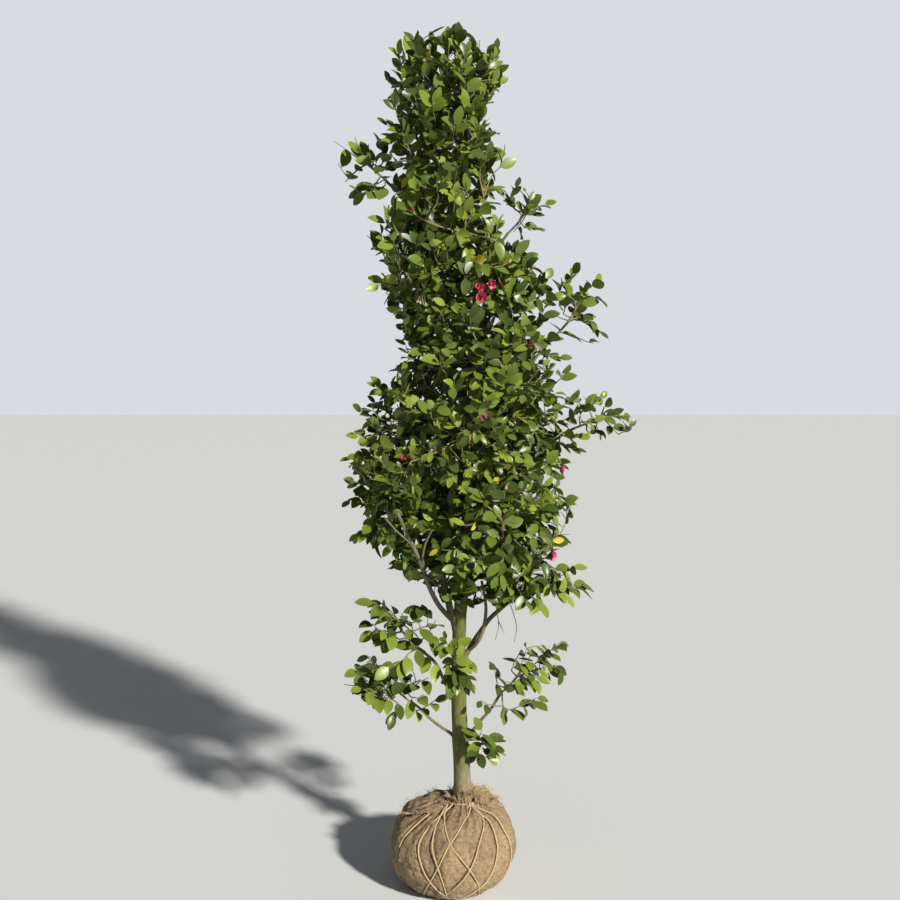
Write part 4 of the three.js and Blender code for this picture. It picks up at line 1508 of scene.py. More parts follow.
feet = column(one.foot for one in leaves)
ways = column(one.way for one in leaves)
orders = column(one.order for one in leaves)
tints = column(one.tint for one in leaves)
free = column(one.free for one in leaves) > 0
ranks = column(one.look.ranks for one in leaves) > 0
out_share = column(one.look.out for one in leaves)[:, None]
up_share = column(one.look.up for one in leaves)[:, None]
light_share = column(one.look.light for one in leaves)[:, None]
stray = column(one.look.stray for one in leaves)[:, None]
lengths = LEAF_LENGTH * column(one.size for one in leaves)
lengths *= np.where(ranks | free, 1, np.interp(feet[:, 2], LEAF_HABIT[:, 0], LEAF_HABIT[:, 1]))
hang = np.interp(feet[:, 2], LEAF_HABIT[:, 0], LEAF_HABIT[:, 2])[:, None]
widths = leaf_random.uniform(*LEAF_WIDTH, len(leaves))
trunk_x = np.interp(feet[:, 2], TRUNK_LINE[:, 2], TRUNK_LINE[:, 0])
axis_x = np.where(ranks, trunk_x, crown_section(feet[:, 2])[0])
outs = unit(feet - np.stack([axis_x, 0 * axis_x, feet[:, 2] - 50], axis=1))
sides = unit(np.cross(np.where(np.abs(ways[:, 2:]) < 0.9, UP, (1.0, 0.0, 0.0)), ways))
print("leaves are", round(lengths.min()), "to", round(lengths.max()), "mm long")

# %% Turn the leaves
LEAF_TRIES = 8
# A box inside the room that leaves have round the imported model.
LEAVES_WITHIN = np.array([(-288, -234, 0), (450, 240, 2046)])
TIP_GAP = 3
BLADE_GAP = 5
# A leaf may point this far back into the crown.
MOST_INWARDS = -0.4
SPLAY_AT_TIP = (0.1, 0.7)
SPLAY = (0.6, 1.2)


def turned(vectors, axes, angles):
    """Vectors square to their axes, turned round them."""
    return vectors * np.cos(angles)[:, None] + np.cross(axes, vectors) * np.sin(angles)[:, None]


along, face = np.zeros_like(feet), np.zeros_like(feet)
waiting = np.ones(len(feet), bool)
limb_segments = segments_of(thick_limbs)
for _ in range(LEAF_TRIES):
    todo = np.flatnonzero(waiting)
    count = len(todo)
    two_ranks = orders[todo] * math.pi + leaf_random.uniform(-0.6, 0.6, count)
    spiral = orders[todo] * GOLDEN_ANGLE + leaf_random.uniform(0, TAU, count)
    turn = np.where(ranks[todo], two_ranks, spiral)
    splay_at_tip = leaf_random.uniform(*SPLAY_AT_TIP, count)
    splay = np.where(orders[todo] == 0, splay_at_tip, leaf_random.uniform(*SPLAY, count))
    lean = turned(sides[todo], ways[todo], turn)
    way = ways[todo] * np.cos(splay)[:, None] + lean * np.sin(splay)[:, None]
    way = unit(way - UP * (hang[todo] + leaf_random.uniform(-0.25, 0.25, (count, 1))))
    look = outs[todo] * out_share[todo] + UP * up_share[todo] + unit(SUN_FROM) * light_share[todo]
    look += leaf_random.uniform(-1, 1, (count, 3)) * stray[todo]
    look = unit(look - way * (look * way).sum(-1, keepdims=True))
    tips = feet[todo] + way * lengths[todo, None]
    halfway = feet[todo] + way * lengths[todo, None] * 0.55
    inside = in_leaf_space(tips, ragged=False) | free[todo]
    for spray in SPRAYS.values():
        inside |= in_spray(spray, tips)
    inside &= ((tips > LEAVES_WITHIN[0]) & (tips < LEAVES_WITHIN[1])).all(axis=1)
    fits = inside & (room_round(tips, limb_segments) > TIP_GAP)
    fits &= room_round(halfway, limb_segments) > BLADE_GAP
    fits &= (way * outs[todo]).sum(-1) > MOST_INWARDS
    fits &= ~hides_limb(halfway) & ~hides_limb(tips)
    along[todo[fits]], face[todo[fits]] = way[fits], look[fits]
    waiting[todo[fits]] = False
kept = ~waiting
print(kept.sum(), "leaves of", len(feet))

# %% Make the leaves
UPPER_SIDE = {"roughness": 0.34, "gloss": 0.29}
UNDERSIDE = {"roughness": 0.55, "gloss": 0.3}
for number, (tint, (top, under, _)) in enumerate(LEAF_TINTS.items()):
    chosen = kept & (tints == number)
    count = chosen.sum()
    curl = leaf_random.uniform(0.3, 1.7, count)
    size = np.stack([lengths[chosen], lengths[chosen] * widths[chosen], lengths[chosen] * curl], axis=1)
    piece = scattered(
        f"leaves_{tint}",
        leaf,
        feet[chosen],
        along[chosen],
        face[chosen],
        size * MM,
        plain_finish(f"leaf {tint}", top, **UPPER_SIDE),
        plain_finish(f"leaf {tint} underside", under, **UNDERSIDE),
    )
    finish_piece(piece, CROWN_NODES)
bpy.data.objects.remove(leaf)

# %% [markdown]
# ## Blossoms and buds
# The blossoms are rose pink, each with a ring of broad petals, a ring of smaller ones that stand
# up inside it, and yellow stamens. A few are fading. Small tan and green buds sit at the ends of
# twigs. Petals, stamens and buds are set like leaves, so each kind needs only one small pattern.

# %% A petal, a stamen and a bud as patterns
PETAL_HALF_WIDTHS = (0.06, 0.26, 0.44, 0.47, 0.30)


def petal_grid():
    """A cupped petal with a notch in its tip and a slight crinkle."""
    rows = []
    for i, half in enumerate(PETAL_HALF_WIDTHS):
        at = i / (len(PETAL_HALF_WIDTHS) - 1)
        notch = 0.05 if at == 1 else 0
        row = []
        for k, side in enumerate((1, 0.5, 0, -0.5, -1)):
            rise = 0.28 * at * at + 0.30 * side * side * half + 0.05 * at * (-1) ** k
            row.append((at - notch * (side == 0), side * half, rise))
        rows.append(row)
    return np.array(rows)


def turned_pattern(name, profile, sides):
    """A closed shape turned round X from places and radii along it."""
    turns = np.arange(sides) * TAU / sides
    points = [(x, r * math.cos(turn), r * math.sin(turn)) for x, r in profile for turn in turns]
    faces = []
    for row in range(len(profile) - 1):
        for i in range(sides):
            j = (i + 1) % sides
            faces.append([row * sides + i, row * sides + j, (row + 1) * sides + j, (row + 1) * sides + i])
    faces.append(list(range(sides))[::-1])
    faces.append([len(points) - sides + i for i in range(sides)])
    made = new_object(name, np.array(points) / MM, (), faces)
    print(name, triangles_in(made), "triangles")
    return made


STAMEN_PROFILE = [(0, 0.03), (0.8, 0.025), (0.86, 0.09), (1, 0.05)]
BUD_PROFILE = [(0, 0.1), (0.12, 0.27), (0.4, 0.38), (0.7, 0.27), (0.92, 0.1), (1, 0.02)]
petal = blade_pattern("petal pattern", petal_grid(), 0.03)
stamen = turned_pattern("stamen pattern", STAMEN_PROFILE, 4)
bud = turned_pattern("bud pattern", BUD_PROFILE, 7)

# %% Set the petals
EXTRA_BLOSSOMS = [(66, 1432), (-112, 1078)]
FADED = {(-112, 1078), (108, 950), (-130, 1000)}
# Petals in a ring, their length, and between which angles they stand up.
PETAL_RINGS = [(7, 14.5, (0.1, 0.8)), (6, 11, (0.7, 1.35))]
BLOSSOM_SUNK = 8
PETALS_SUNK = 6
STAMENS_SUNK = 5
BLOSSOM_TILT = 0.55
FADED_SIZE = 0.8
STAMENS = 12
STAMEN_LENGTH = 7
bloom_random = np.random.RandomState(23)
blooms = blossom_places + [blossom_place(spot, -1) for spot in EXTRA_BLOSSOMS]
spots = FRONT_BLOSSOMS + BACK_BLOSSOMS + EXTRA_BLOSSOMS
petals = {"fresh": [], "faded": []}
stamens = []


def opened(across, through, axis, bearing, lift):
    """Two ways at a bearing round a blossom's axis: outwards, and the same lifted towards it."""
    out = across * math.cos(bearing) + through * math.sin(bearing)
    return out, out * math.cos(lift) + axis * math.sin(lift)


for spot, place in zip(spots, blooms):
    kind = "faded" if spot in FADED else "fresh"
    x, _, _ = crown_section(place[2])
    axis = unit(place - (x, 0, place[2]))
    place = place - axis * BLOSSOM_SUNK
    axis = unit(axis + bloom_random.uniform(-BLOSSOM_TILT, BLOSSOM_TILT, 3))
    across = unit(np.cross(UP, axis))
    through = np.cross(axis, across)
    shrink = FADED_SIZE if kind == "faded" else 1.0
    for count, length, opening in PETAL_RINGS:
        first = bloom_random.uniform(0, TAU)
        for k in range(count):
            bearing = first + TAU * k / count + bloom_random.uniform(-0.2, 0.2)
            lift = bloom_random.uniform(*opening)
            out, way = opened(across, through, axis, bearing, lift)
            look = axis * math.cos(lift) - out * math.sin(lift)
            size = length * shrink * bloom_random.uniform(0.65, 1.15)
            sizes = (size, size * 1.1, size * bloom_random.uniform(0.7, 1.5))
            petals[kind].append((place - axis * PETALS_SUNK, way, look, sizes))
    for k in range(STAMENS):
        _, way = opened(across, through, axis, GOLDEN_ANGLE * k, bloom_random.uniform(0.9, 1.5))
        stamens.append((place - axis * STAMENS_SUNK, way, unit(np.cross(way, across)), (STAMEN_LENGTH,) * 3))
print(sum(len(rows) for rows in petals.values()), "petals and", len(stamens), "stamens")


# %% Make the petals and the stamens
def set_pattern(name, pattern, rows, finish):
    places, along, face, size = (np.array(values) for values in zip(*rows))
    made = scattered(name, pattern, places, along, face, size * MM, finish)
    finish_piece(made)


ROSE = plain_finish("rose petal", (0.60, 0.08, 0.18), 0.5)
FADED_ROSE = plain_finish("faded petal", (0.42, 0.09, 0.09), 0.65)
set_pattern("blossom_petals", petal, petals["fresh"], ROSE)
set_pattern("faded_petals", petal, petals["faded"], FADED_ROSE)
set_pattern("stamens", stamen, stamens, plain_finish("stamen", (0.75, 0.48, 0.06), 0.6))

# %% Set the buds
BUD_SHARE = 0.085
TAN_SHARE = 0.55
BUD_LENGTHS = (8, 13)
BUD_FACES = (0.3, 0.9, 0.1)
buds = {"tan": [], "green": []}
for mass in MASSES:
    for twig in mass.twigs[mass.main_count :]:
        if bloom_random.uniform() < BUD_SHARE:
            here = twig.path[-1]
            way = unit(here - twig.path[-2])
            kind = "tan" if bloom_random.uniform() < TAN_SHARE else "green"
            length = bloom_random.uniform(*BUD_LENGTHS)
            buds[kind].append((here, way, unit(np.cross(way, BUD_FACES)), (length,) * 3))
set_pattern("tan_buds", bud, buds["tan"], plain_finish("tan bud", (0.30, 0.19, 0.11), 0.6))
set_pattern("green_buds", bud, buds["green"], plain_finish("green bud", (0.20, 0.22, 0.05), 0.5))
for pattern in (petal, stamen, bud):
    bpy.data.objects.remove(pattern)

# %% [markdown]
# ## Root ball
# The ball is soil in a square of jute, pulled tight by twine and gathered round the trunk's foot.
# The cloth is one grid of points round the ball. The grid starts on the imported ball's outline,
# then gets pleats at the neck, slack folds, and a groove under each strand of twine. A cloth
# simulation would find folds of its own, but not the ones that the twine pulls in here.

# %% Sizes of the root ball and its twine
NECK_HEIGHT = 206
NECK_RADIUS = 48
NECK_X = 27
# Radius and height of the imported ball's side, from the floor up.
BALL_OUTSIDE = np.array([
    (104, 0),
    (133, 22),
    (151, 58),
    (154, 96),
    (143, 136),
    (112, 170),
    (74, 190),
    (NECK_RADIUS, NECK_HEIGHT),
    (40, 232),
], float)
BALL_LUMP = 3.5
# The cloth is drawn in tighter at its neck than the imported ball.
CLOTH_OUTSIDE = np.concatenate([BALL_OUTSIDE[:6], [(76, 191), (52, 201), (40, 206)]])
# A strand's bearings at the neck, at the ball's girth and at its foot.
TWINE_STRANDS = [
    (-80, -99, -128),
    (-46, -68, -114),
    (-144, -81, -60),
    (-128, -121, -82),
    (-158, -146, -172),
    (-64, -41, -95),
]


def cylinder_points(radius, bearing, height):
    return np.stack([radius * np.cos(bearing), radius * np.sin(bearing), height], axis=-1)


def settle_on_ball(points):
    """Moves points of the plain turned ball to their places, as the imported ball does."""
    x, y, z = points[..., 0], points[..., 1], points[..., 2]
    height = np.minimum(z / NECK_HEIGHT, 1)
    bearing = np.arctan2(y, x)
    lumps = np.sin(3 * bearing + 1.1) + 0.7 * np.sin(5 * bearing + 4 * height)
    swell = BALL_LUMP * lumps * np.sin(np.pi * height) ** 2
    radius = np.maximum(np.hypot(x, y), 1e-6)
    out = np.where(radius > 28, (radius + swell) / radius, 1)
    draw = smoothstep(z, BALL_OUTSIDE[4, 1], NECK_HEIGHT)
    return np.stack([x * out + NECK_X * draw, y * out, z], axis=-1)


def on_ball(profile, bearing):
    return settle_on_ball(cylinder_points(profile[..., 0], bearing, profile[..., 1]))


print("the ball is", 2 * BALL_OUTSIDE[:, 0].max(), "mm wide")

# %% Lay the strands of twine
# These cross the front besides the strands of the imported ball.
FRONT_STRANDS = [(-143, -105, -95), (-40, -22, -28), (-141, -184, -137)]
STRAND_POINTS = 160
STRAND_END = 0.96
KNOT_BEARING = -62
# Strands whose necks lie within these degrees of the knot start at it, the others in the folds.
KNOT_PULL = 38
strands = []
below_neck = evenly(spline(CLOTH_OUTSIDE[::-1], 0, 60), 200)
for turn, courses in ((0, TWINE_STRANDS + FRONT_STRANDS), (180, TWINE_STRANDS)):
    for neck, girth, foot in courses:
        shares = np.linspace(0, STRAND_END, STRAND_POINTS)
        middle = 2 * girth - (neck + foot) / 2
        bearing = curve_between(neck, middle, foot, shares)[:, 0]
        gathered = bell(neck - KNOT_BEARING, KNOT_PULL) * (1 - smoothstep(shares, -0.02, 0.2))
        bearing = np.radians(mix(bearing, KNOT_BEARING, gathered) + turn)
        profile = points_at(below_neck, shares, np.linspace(0, 1, len(below_neck)))
        slope = np.gradient(profile, axis=0)
        lean = unit(np.stack([-slope[:, 1], slope[:, 0]], axis=1))
        normal = cylinder_points(lean[:, 0], bearing, lean[:, 1])
        strands.append((on_ball(profile, bearing), unit(normal)))
print(len(strands), "strands of twine")


# %% The ruffled edge round the trunk
# Heights of two humps where the cloth is bunched: their rise, bearing and width.
BUNCHES = [(9, 318, 42), (15, 288, 24)]
RIM_RADIUS = 30
RIM_HEIGHT = 213


def hump(bearing, middle, width):
    """One wide hump at a bearing in degrees."""
    return bell((np.degrees(bearing) - middle + 180) % 360 - 180, width)


def bunched(bearing):
    """How far the gathered edge stands up: highest before the trunk and to its right."""
    return sum(rise * hump(bearing, middle, width) for rise, middle, width in BUNCHES)


def collar(bearing):
    """Outer wall, rim and inner wall of the edge, row by row."""
    rim_radius = RIM_RADIUS + 3.5 * np.abs(np.sin(4 * bearing + 0.6)) + 2 * np.sin(9 * bearing)
    rim_radius = rim_radius + 11 * hump(bearing, 212, 26)
    rim_height = RIM_HEIGHT + 4 * np.sin(3 * bearing + 2) + 3 * np.sin(8 * bearing) + bunched(bearing)
    rows = []
    for s in np.linspace(0.15, 1, 7):
        rows.append((mix(40, rim_radius, s) - 4 * math.sin(math.pi * s), mix(206, rim_height, s)))
    for s in np.linspace(0.15, 1, 6):
        rows.append((mix(rim_radius - 2.2, 20, s**1.3), mix(rim_height - 1, 198, s**0.8)))
    radius, height = (np.stack(values) for values in zip(*rows))
    return cylinder_points(radius, bearing, height) + (NECK_X, 0, 0)


# %% The cloth of the ball
BALL_COLUMNS = 400
PLEATS = 13
PLEAT_DEPTH = 3.2
GROOVE = SimpleNamespace(depth=2.4, width=4.5)
# The cloth swells up on both sides of a groove.
BANK = SimpleNamespace(rise=1.1, away=12, width=7)


def grid_normals(grid):
    across = np.roll(grid, -1, axis=1) - np.roll(grid, 1, axis=1)
    along = np.gradient(grid, axis=0)
    return unit(np.cross(across, along))


def from_strands(grid):
    """How far each point is from the nearest strand of twine."""
    near = np.full(grid.shape[:2], 1e9)
    for line, _ in strands:
        for point in line[::2]:
            near = np.minimum(near, ((grid - point) ** 2).sum(-1))
    return np.sqrt(near)


def pleats_in(bearing, z):
    """Sharp pleats of uneven width that start on the shoulder and deepen towards the neck."""
    uneven = 0.9 * np.sin(2 * bearing + 0.5) + 0.6 * np.sin(5 * bearing)
    twist = PLEATS * bearing + uneven + (z - 200) * 0.016
    crest = (1 - np.abs(np.sin(twist))) ** 1.6 - 0.35 + 0.25 * np.sin(2.3 * twist + 1)
    return crest * smoothstep(z, 138, NECK_HEIGHT) * PLEAT_DEPTH


def ball_cloth():
    bottom = np.stack([np.linspace(4, 98, 14), np.zeros(14)], axis=1)
    profile = np.concatenate([bottom, spline(CLOTH_OUTSIDE, 0, 18)])
    bearing = np.linspace(0, TAU, BALL_COLUMNS, endpoint=False)
    shape = (len(profile), BALL_COLUMNS)
    grid = on_ball(np.repeat(profile[:, None], BALL_COLUMNS, axis=1), np.broadcast_to(bearing, shape))
    top = collar(bearing)
    grid = np.concatenate([grid, top])
    normal = grid_normals(grid)
    z = grid[..., 2]
    slack = ripples(grid * (1, 1, 0.6), 90, 1) * 1.6 + ripples(grid, 34, 2) * 0.8
    wrinkles = np.maximum(ripples(grid * (1, 1, 1.8), 19, 3), 0) * 0.8 + ripples(grid, 9, 4) * 0.25
    shoulder = 7 * hump(bearing, 38, 34) * smoothstep(z, 120, 180)
    near = from_strands(grid)
    groove = -GROOVE.depth * bell(near, GROOVE.width) + BANK.rise * bell(near - BANK.away, BANK.width)
    outer = np.ones((len(grid), 1))
    outer[-len(top) :, 0] = np.linspace(0.8, 0.0, len(top))
    on_floor = smoothstep(z, 0, 10)
    folds = pleats_in(bearing, z) + (slack + wrinkles + groove + shoulder) * on_floor
    grid = grid + normal * (folds * outer)[..., None]
    grid[..., 2] = np.maximum(grid[..., 2], 0)
    return grid


# %% A piece of cloth from a grid of points
# The width of a closed piece's map, in metres: about that of the square round the ball.
CLOTH_WIDTH = 0.9


def point_outwards(made):
    shell = bmesh.new()
    shell.from_mesh(made.data)
    if shell.calc_volume(signed=True) < 0:
        bmesh.ops.reverse_faces(shell, faces=shell.faces)
        shell.to_mesh(made.data)
    shell.free()


def map_weave(made, grid, width):
    """A map for the weave, which follows the cloth across it and along it, in metres."""
    columns = grid.shape[1]
    span = np.linalg.norm(np.diff(grid, axis=0), axis=-1).mean(axis=1)
    v = np.concatenate([[0], np.cumsum(span)]) * MM
    u = np.arange(columns) / columns * width
    layer = made.data.uv_layers.new(name="cloth")
    corners = np.empty(len(made.data.loops), int)
    made.data.loops.foreach_get("vertex_index", corners)
    layer.data.foreach_set("uv", np.stack([u[corners % columns], v[corners // columns]], axis=1).ravel())


def cloth_piece(name, grid, closed):
    rows, columns = grid.shape[:2]
    number = np.arange(rows * columns).reshape(rows, columns)
    beside = np.roll(number, -1, axis=1)
    if not closed:
        number, beside = number[:, :-1], beside[:, :-1]
    faces = np.stack([number[:-1], beside[:-1], beside[1:], number[1:]], axis=-1).reshape(-1, 4).tolist()
    if closed:
        faces.append(number[0, ::-1].tolist())
        faces.append(number[-1].tolist())
    made = new_object(name, grid.reshape(-1, 3), (), faces)
    if closed:
        point_outwards(made)
    made.data.shade_smooth()
    across = np.linalg.norm(np.diff(grid, axis=1), axis=-1).sum(axis=1).mean() * MM
    map_weave(made, grid, CLOTH_WIDTH if closed else across)
    print(name, triangles_in(made), "triangles")
    return made


# %% [markdown]
# ### Jute
# Jute cloth is a plain weave of coarse, uneven threads, one over and one under. Real threads
# would be far too many faces, so the finish paints them in relief, and paints shade into the low
# places between them. It reads the cloth's own map, so the threads bunch together where the cloth
# is gathered.


# %% Jute finish
def jute_group():
    inputs = {
        "Thread": ("NodeSocketColor", (0.325, 0.235, 0.132, 1)),
        # The darker colour is painted shade for the hollows between the threads.
        "Gap": ("NodeSocketColor", (0.12, 0.078, 0.04, 1)),
        "Pitch": ("NodeSocketFloat", 0.0026),
    }
    group, given, result = new_group("jute weave", "ShaderNodeTree", inputs, FINISH_OUTPUTS)
    cloth = node(group, "ShaderNodeUVMap", None, uv_map="cloth")
    place = node(group, "ShaderNodeTexCoord").outputs["Object"]
    uneven = noise(group, place, 90.0)
    parts = node(group, "ShaderNodeSeparateXYZ", {0: cloth})

    def thread(position):
        shifted = maths(group, "MULTIPLY_ADD", uneven, 0.0016, position)
        return maths(group, "MULTIPLY", maths(group, "DIVIDE", shifted, given["Pitch"]), math.pi)

    warp, weft = thread(parts.outputs[0]), thread(parts.outputs[1])
    over = maths(group, "MULTIPLY", maths(group, "COSINE", warp), maths(group, "COSINE", weft))
    over = maths(group, "MULTIPLY_ADD", over, 0.5, 0.5)
    warp_height = maths(group, "ABSOLUTE", maths(group, "SINE", warp))
    weft_height = maths(group, "ABSOLUTE", maths(group, "SINE", weft))
    height = node(group, "ShaderNodeMix", {0: over, 2: warp_height, 3: weft_height}, data_type="FLOAT")
    fluff = noise(group, place, 420.0, 4.0)
    height = maths(group, "MULTIPLY_ADD", fluff, 0.7, height)
    patches = noise(group, place, 14.0, 6.0, 0.62)
    soiled = remap(group, patches, (0.3, 0.7), (0.68, 1.18))
    # Where the threads lie low the colour goes to the darker one: painted shade between the threads.
    weave = blend(group, maths(group, "MULTIPLY", height, 0.72), given["Gap"], given["Thread"])
    # Slubs are thick places in the yarn, a few millimetres long.
    slubs = noise(group, place, 170.0)
    speckle = remap(group, slubs, (0.32, 0.68), (0.70, 1.32))
    tone = times(group, weave, maths(group, "MULTIPLY", soiled, speckle))
    height = maths(group, "MULTIPLY_ADD", slubs, 0.9, height)
    rough = remap(group, height, (0, 1), (1.0, 0.85))
    fill(group, result, {"Color": tone, "Height": height, "Roughness": rough})
    return group


JUTE = relief_finish("jute cloth", jute_group(), {}, 0.0012, 0.8)
ball = cloth_piece("jute_ball", ball_cloth(), True)
ball.data.materials.append(JUTE)
finish_piece(ball, ["root_ball"])

# %% [markdown]
# ### Twine
# The twine is three plies twisted together, and the groove between them shows at its edge, where
# a relief in the finish would not. So each ply is a helix of its own round the strand's middle
# line. One turn holds the neck, and the strands fan out from a knot at the front.

# %% Twist the twine
PLIES = 3
PLY_RADIUS = 1.1
PLY_OFFSET = 1.05
PLY_PITCH = 13
# How far a strand's middle line lies above the cloth's plain outline.
TWINE_ABOVE = 1.6


def plies_along(line, normal):
    """One helix for each ply round a line."""
    way = unit(np.gradient(line, axis=0))
    side = unit(np.cross(way, normal))
    upright = np.cross(side, way)
    plies = []
    for k in range(PLIES):
        turn = (run_along(line) / PLY_PITCH * TAU + k * TAU / PLIES)[:, None]
        plies.append(line + (upright * np.cos(turn) + side * np.sin(turn)) * PLY_OFFSET)
    return plies


twine_lines = []
for line, normal in strands:
    twine_lines += plies_along(line + normal * TWINE_ABOVE, normal)

ring_out = CLOTH_OUTSIDE[-1, 0] + 1.5
knot_turn = math.radians(KNOT_BEARING)
bearing = np.linspace(0, 1, 200) * TAU + knot_turn
ring_height = NECK_HEIGHT + 1 + 1.5 * np.sin(3 * bearing)
ring = cylinder_points(ring_out, bearing, ring_height) + (NECK_X, 0, 0)
twine_lines += plies_along(ring, cylinder_points(1, bearing, 0 * bearing))
print(len(twine_lines), "plies round the ball and its neck")

# %% Tie the knot
# The knot is a trefoil, flattened against the neck, with two loose ends.
KNOT_SIZE = 2.3
# A loose end's points from the knot's middle: sideways, outwards and down.
LOOSE_END = [(4, 0, 0), (14, 5, 3), (20, 12, 14), (24, 22, 26)]
knot_out = np.array([math.cos(knot_turn), math.sin(knot_turn), 0])
knot_side = np.array([-knot_out[1], knot_out[0], 0])
knot_middle = np.array([NECK_X, 0, NECK_HEIGHT + 1]) + knot_out * (ring_out + 3)
t = np.linspace(0, TAU, 90)[:, None]
loops = knot_side * (np.sin(t) + 2 * np.sin(2 * t)) + UP * (np.cos(t) - 2 * np.cos(2 * t))
knot = knot_middle + KNOT_SIZE * (loops - knot_out * np.sin(3 * t))
twine_lines += plies_along(knot, np.broadcast_to(knot_out, knot.shape) + 0.01)
for way in (-1, 1):
    course = [knot_middle + knot_side * way * a + knot_out * b - UP * c for a, b, c in LOOSE_END]
    loose = spline(course, 0, 14)
    twine_lines += plies_along(loose, np.broadcast_to(knot_out, loose.shape))
print(len(twine_lines), "plies with the knot")


# %% Twine finish
def twine_group():
    inputs = {
        "Light": ("NodeSocketColor", (0.50, 0.40, 0.235, 1)),
        "Dark": ("NodeSocketColor", (0.33, 0.24, 0.13, 1)),
    }
    group, given, result = new_group("twine fibres", "ShaderNodeTree", inputs, FINISH_OUTPUTS)
    place = node(group, "ShaderNodeTexCoord").outputs["Object"]
    fibres = noise(group, place, 600.0, 4.0)
    patches = noise(group, place, 35.0, 3.0)
    share = maths(group, "MULTIPLY_ADD", fibres, 0.5, maths(group, "MULTIPLY", patches, 0.7))
    tone = blend(group, share, given["Dark"], given["Light"])
    rough = remap(group, fibres, (0, 1), (0.95, 0.75))
    fill(group, result, {"Color": tone, "Height": fibres, "Roughness": rough})
    return group


TWINE = relief_finish("jute twine", twine_group(), {}, 0.0006)
twine = swept("twine", twine_lines, PLY_RADIUS, step=0.0025, sides=6, material=TWINE)
finish_piece(twine, ["ball_twine"])

# %% [markdown]
# ### Loose corners and the frayed edge
# The cloth's corners are pulled up and tucked under the twine. One lies loose on the left
# shoulder of the ball with its hem rolled up, and another is bunched behind the knot, against
# the trunk. Each is a sheet of its own with a thickness, because cloth that is folded over itself
# casts a shadow. Everywhere that the jute was cut its threads stand out, and they are swept.

# %% The loose corners of the cloth
CORNER_ROWS, CORNER_COLUMNS = 44, 70
JUTE_THICKNESS = 1.2
LEFT_CORNER = SimpleNamespace(bearings=(128, 216), inner=52, long=70, lift=4, belly=10, waves=2.2, seed=8)
RIGHT_CORNER = SimpleNamespace(bearings=(-50, 70), inner=31, long=50, lift=5, belly=13, waves=4.2, seed=9)


def corner_grid(corner):
    """A sheet that lies on the ball's shoulder, bellies up and ripples towards its edge."""
    out = np.linspace(0, 1, CORNER_ROWS)[:, None]
    across = np.linspace(-1, 1, CORNER_COLUMNS)[None, :]
    bearing = np.radians(mix(*corner.bearings, (across + 1) / 2) + 6 * np.sin(out * 4))
    reach = corner.inner + out * (corner.long - 24 * across**2 + 10 * np.sin(3 * across + 1))
    inward = CLOTH_OUTSIDE[::-1]
    height = np.interp(reach, inward[:, 0][:6], inward[:, 1][:6])
    grid = on_ball(np.stack([reach, height], axis=-1), bearing)
    lift = corner.lift + corner.belly * out**2 * (1 - across**2)
    lift = lift + 5 * bell(across - 0.86, 0.16)
    lift = lift + corner.belly * 0.8 * np.sin(math.pi * out) * np.sin(11 * across + corner.seed) ** 2
    lift = lift + corner.waves * np.sin(9 * across + 3 * out) * out + ripples(grid, 26, corner.seed) * 1.2
    grid[..., 2] += lift
    return grid


for name, corner in (("left_corner", LEFT_CORNER), ("right_corner", RIGHT_CORNER)):
    sheet = cloth_piece(name, corner_grid(corner), False)
    sheet.data.materials.append(JUTE)
    thick = sheet.modifiers.new("thickness", "SOLIDIFY")
    thick.thickness = JUTE_THICKNESS * MM
    thick.offset = 0
    finish_piece(sheet)


# %% The rolled hem
HEM_COURSE = [(-6, -36, 212), (-30, -44, 209), (-58, -46, 200), (-86, -40, 184)]
HEM_RADIUS = 4.2


def rolled_hem(course, radius):
    """A hem as a closed roll of cloth along a course."""
    line = evenly(spline(course, 0, 20), 60)
    way = unit(np.gradient(line, axis=0))
    side = unit(np.cross(way, UP))[:, None]
    top = np.cross(side[:, 0], way)[:, None]
    turn = np.linspace(0, TAU, 30, endpoint=False)[None, :, None]
    share = np.linspace(0, 1, len(line))[:, None, None]
    girth = radius * (0.75 + 0.25 * np.sin(math.pi * share)) * (1 + 0.12 * np.sin(2 * turn + 9 * share))
    grid = line[:, None] + (side * np.cos(turn) + top * np.sin(turn)) * girth
    return grid + ripples(grid, 12, 12)[..., None] * 0.4


hem = cloth_piece("rolled_hem", rolled_hem(HEM_COURSE, HEM_RADIUS), True)
hem.data.materials.append(JUTE)
finish_piece(hem)

# %% Frayed threads
COLLAR_FIBRES = 320
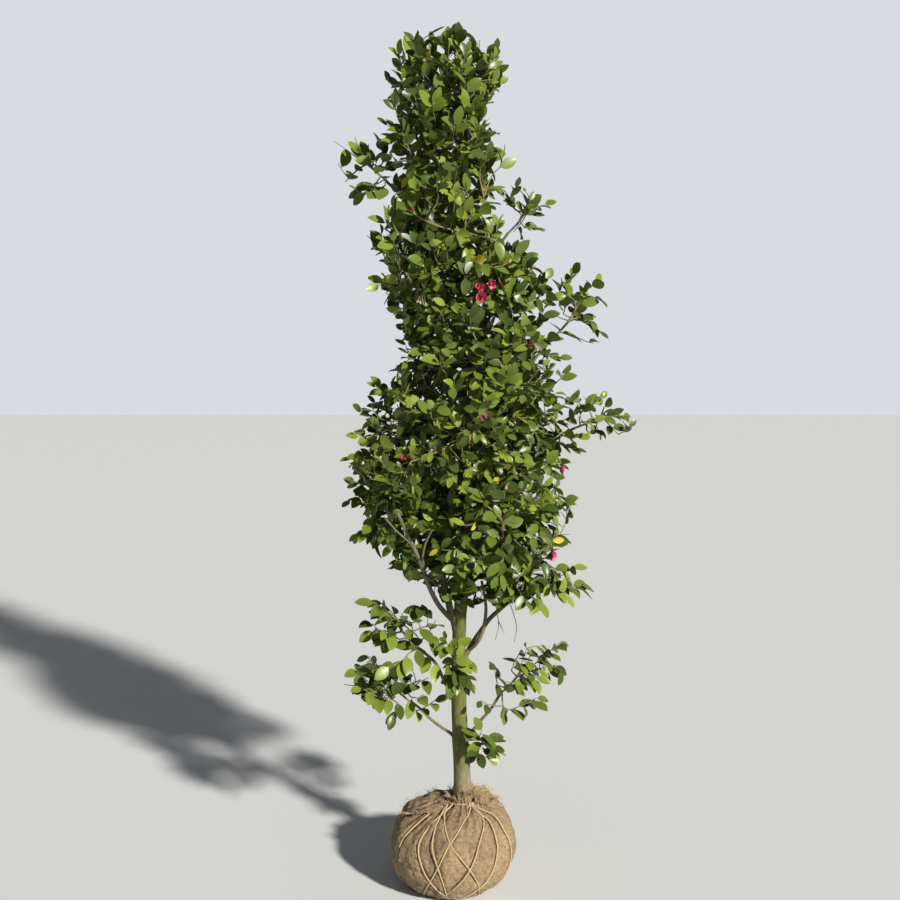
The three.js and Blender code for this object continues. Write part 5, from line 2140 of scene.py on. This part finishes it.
# A corner's edge and the loose fibres on it.
CORNER_FIBRES = [(LEFT_CORNER, 110), (RIGHT_CORNER, 130)]
FIBRE_RADIUS = 0.42
# Where the cloth is bunched, its fibres are longer by this share for each millimetre of rise.
LONGER = 0.08
fray_random = np.random.RandomState(31)


def fibre(start, way, length):
    bend = start + way * length * 0.5 + fray_random.normal(size=3) * length * 0.14
    end = start + way * length + fray_random.normal(size=3) * length * 0.22 - UP * length * 0.12
    return curve_between(start, bend, end, np.linspace(0, 1, 5))


fibres = []
for _ in range(COLLAR_FIBRES):
    bearing = fray_random.uniform(0, TAU)
    out = np.array([math.cos(bearing), math.sin(bearing), 0])
    rise = float(bunched(bearing))
    start = np.array([NECK_X, 0, RIM_HEIGHT - 1 + rise]) + out * fray_random.uniform(29, 36)
    way = unit(out * fray_random.uniform(0.1, 1.1) + UP * fray_random.uniform(0.2, 1.2))
    fibres.append(fibre(start, way, fray_random.uniform(7, 17) * (1 + LONGER * rise)))
for corner, count in CORNER_FIBRES:
    edge = corner_grid(corner)[-1]
    for _ in range(count):
        start = edge[fray_random.randint(2, CORNER_COLUMNS - 3)] + fray_random.normal(size=3) * 0.6
        out = unit((start - (NECK_X, 0, start[2])) * (1, 1, 0))
        way = unit(out + UP * fray_random.uniform(-0.3, 0.9) + fray_random.normal(size=3) * 0.35)
        fibres.append(fibre(start, way, fray_random.uniform(7, 18)))
FRAYED_JUTE = plain_finish("frayed jute", (0.50, 0.39, 0.23), 0.85)
fray = swept("frayed_threads", fibres, FIBRE_RADIUS, step=0.004, sides=3, material=FRAYED_JUTE)
finish_piece(fray)

# %% [markdown]
# ## Floor
# The floor is plain and pale, and it is not part of the plant.

# %% Floor
FLOOR_HALF = 12000
corners = np.array([(-1, -1, 0), (1, -1, 0), (1, 1, 0), (-1, 1, 0)]) * FLOOR_HALF
floor = new_object("floor", corners, (), [(0, 1, 2, 3)])
floor.data.materials.append(plain_finish("pale floor", (0.555, 0.575, 0.595), 0.9))
print("floor", 2 * FLOOR_HALF * MM, "m wide")
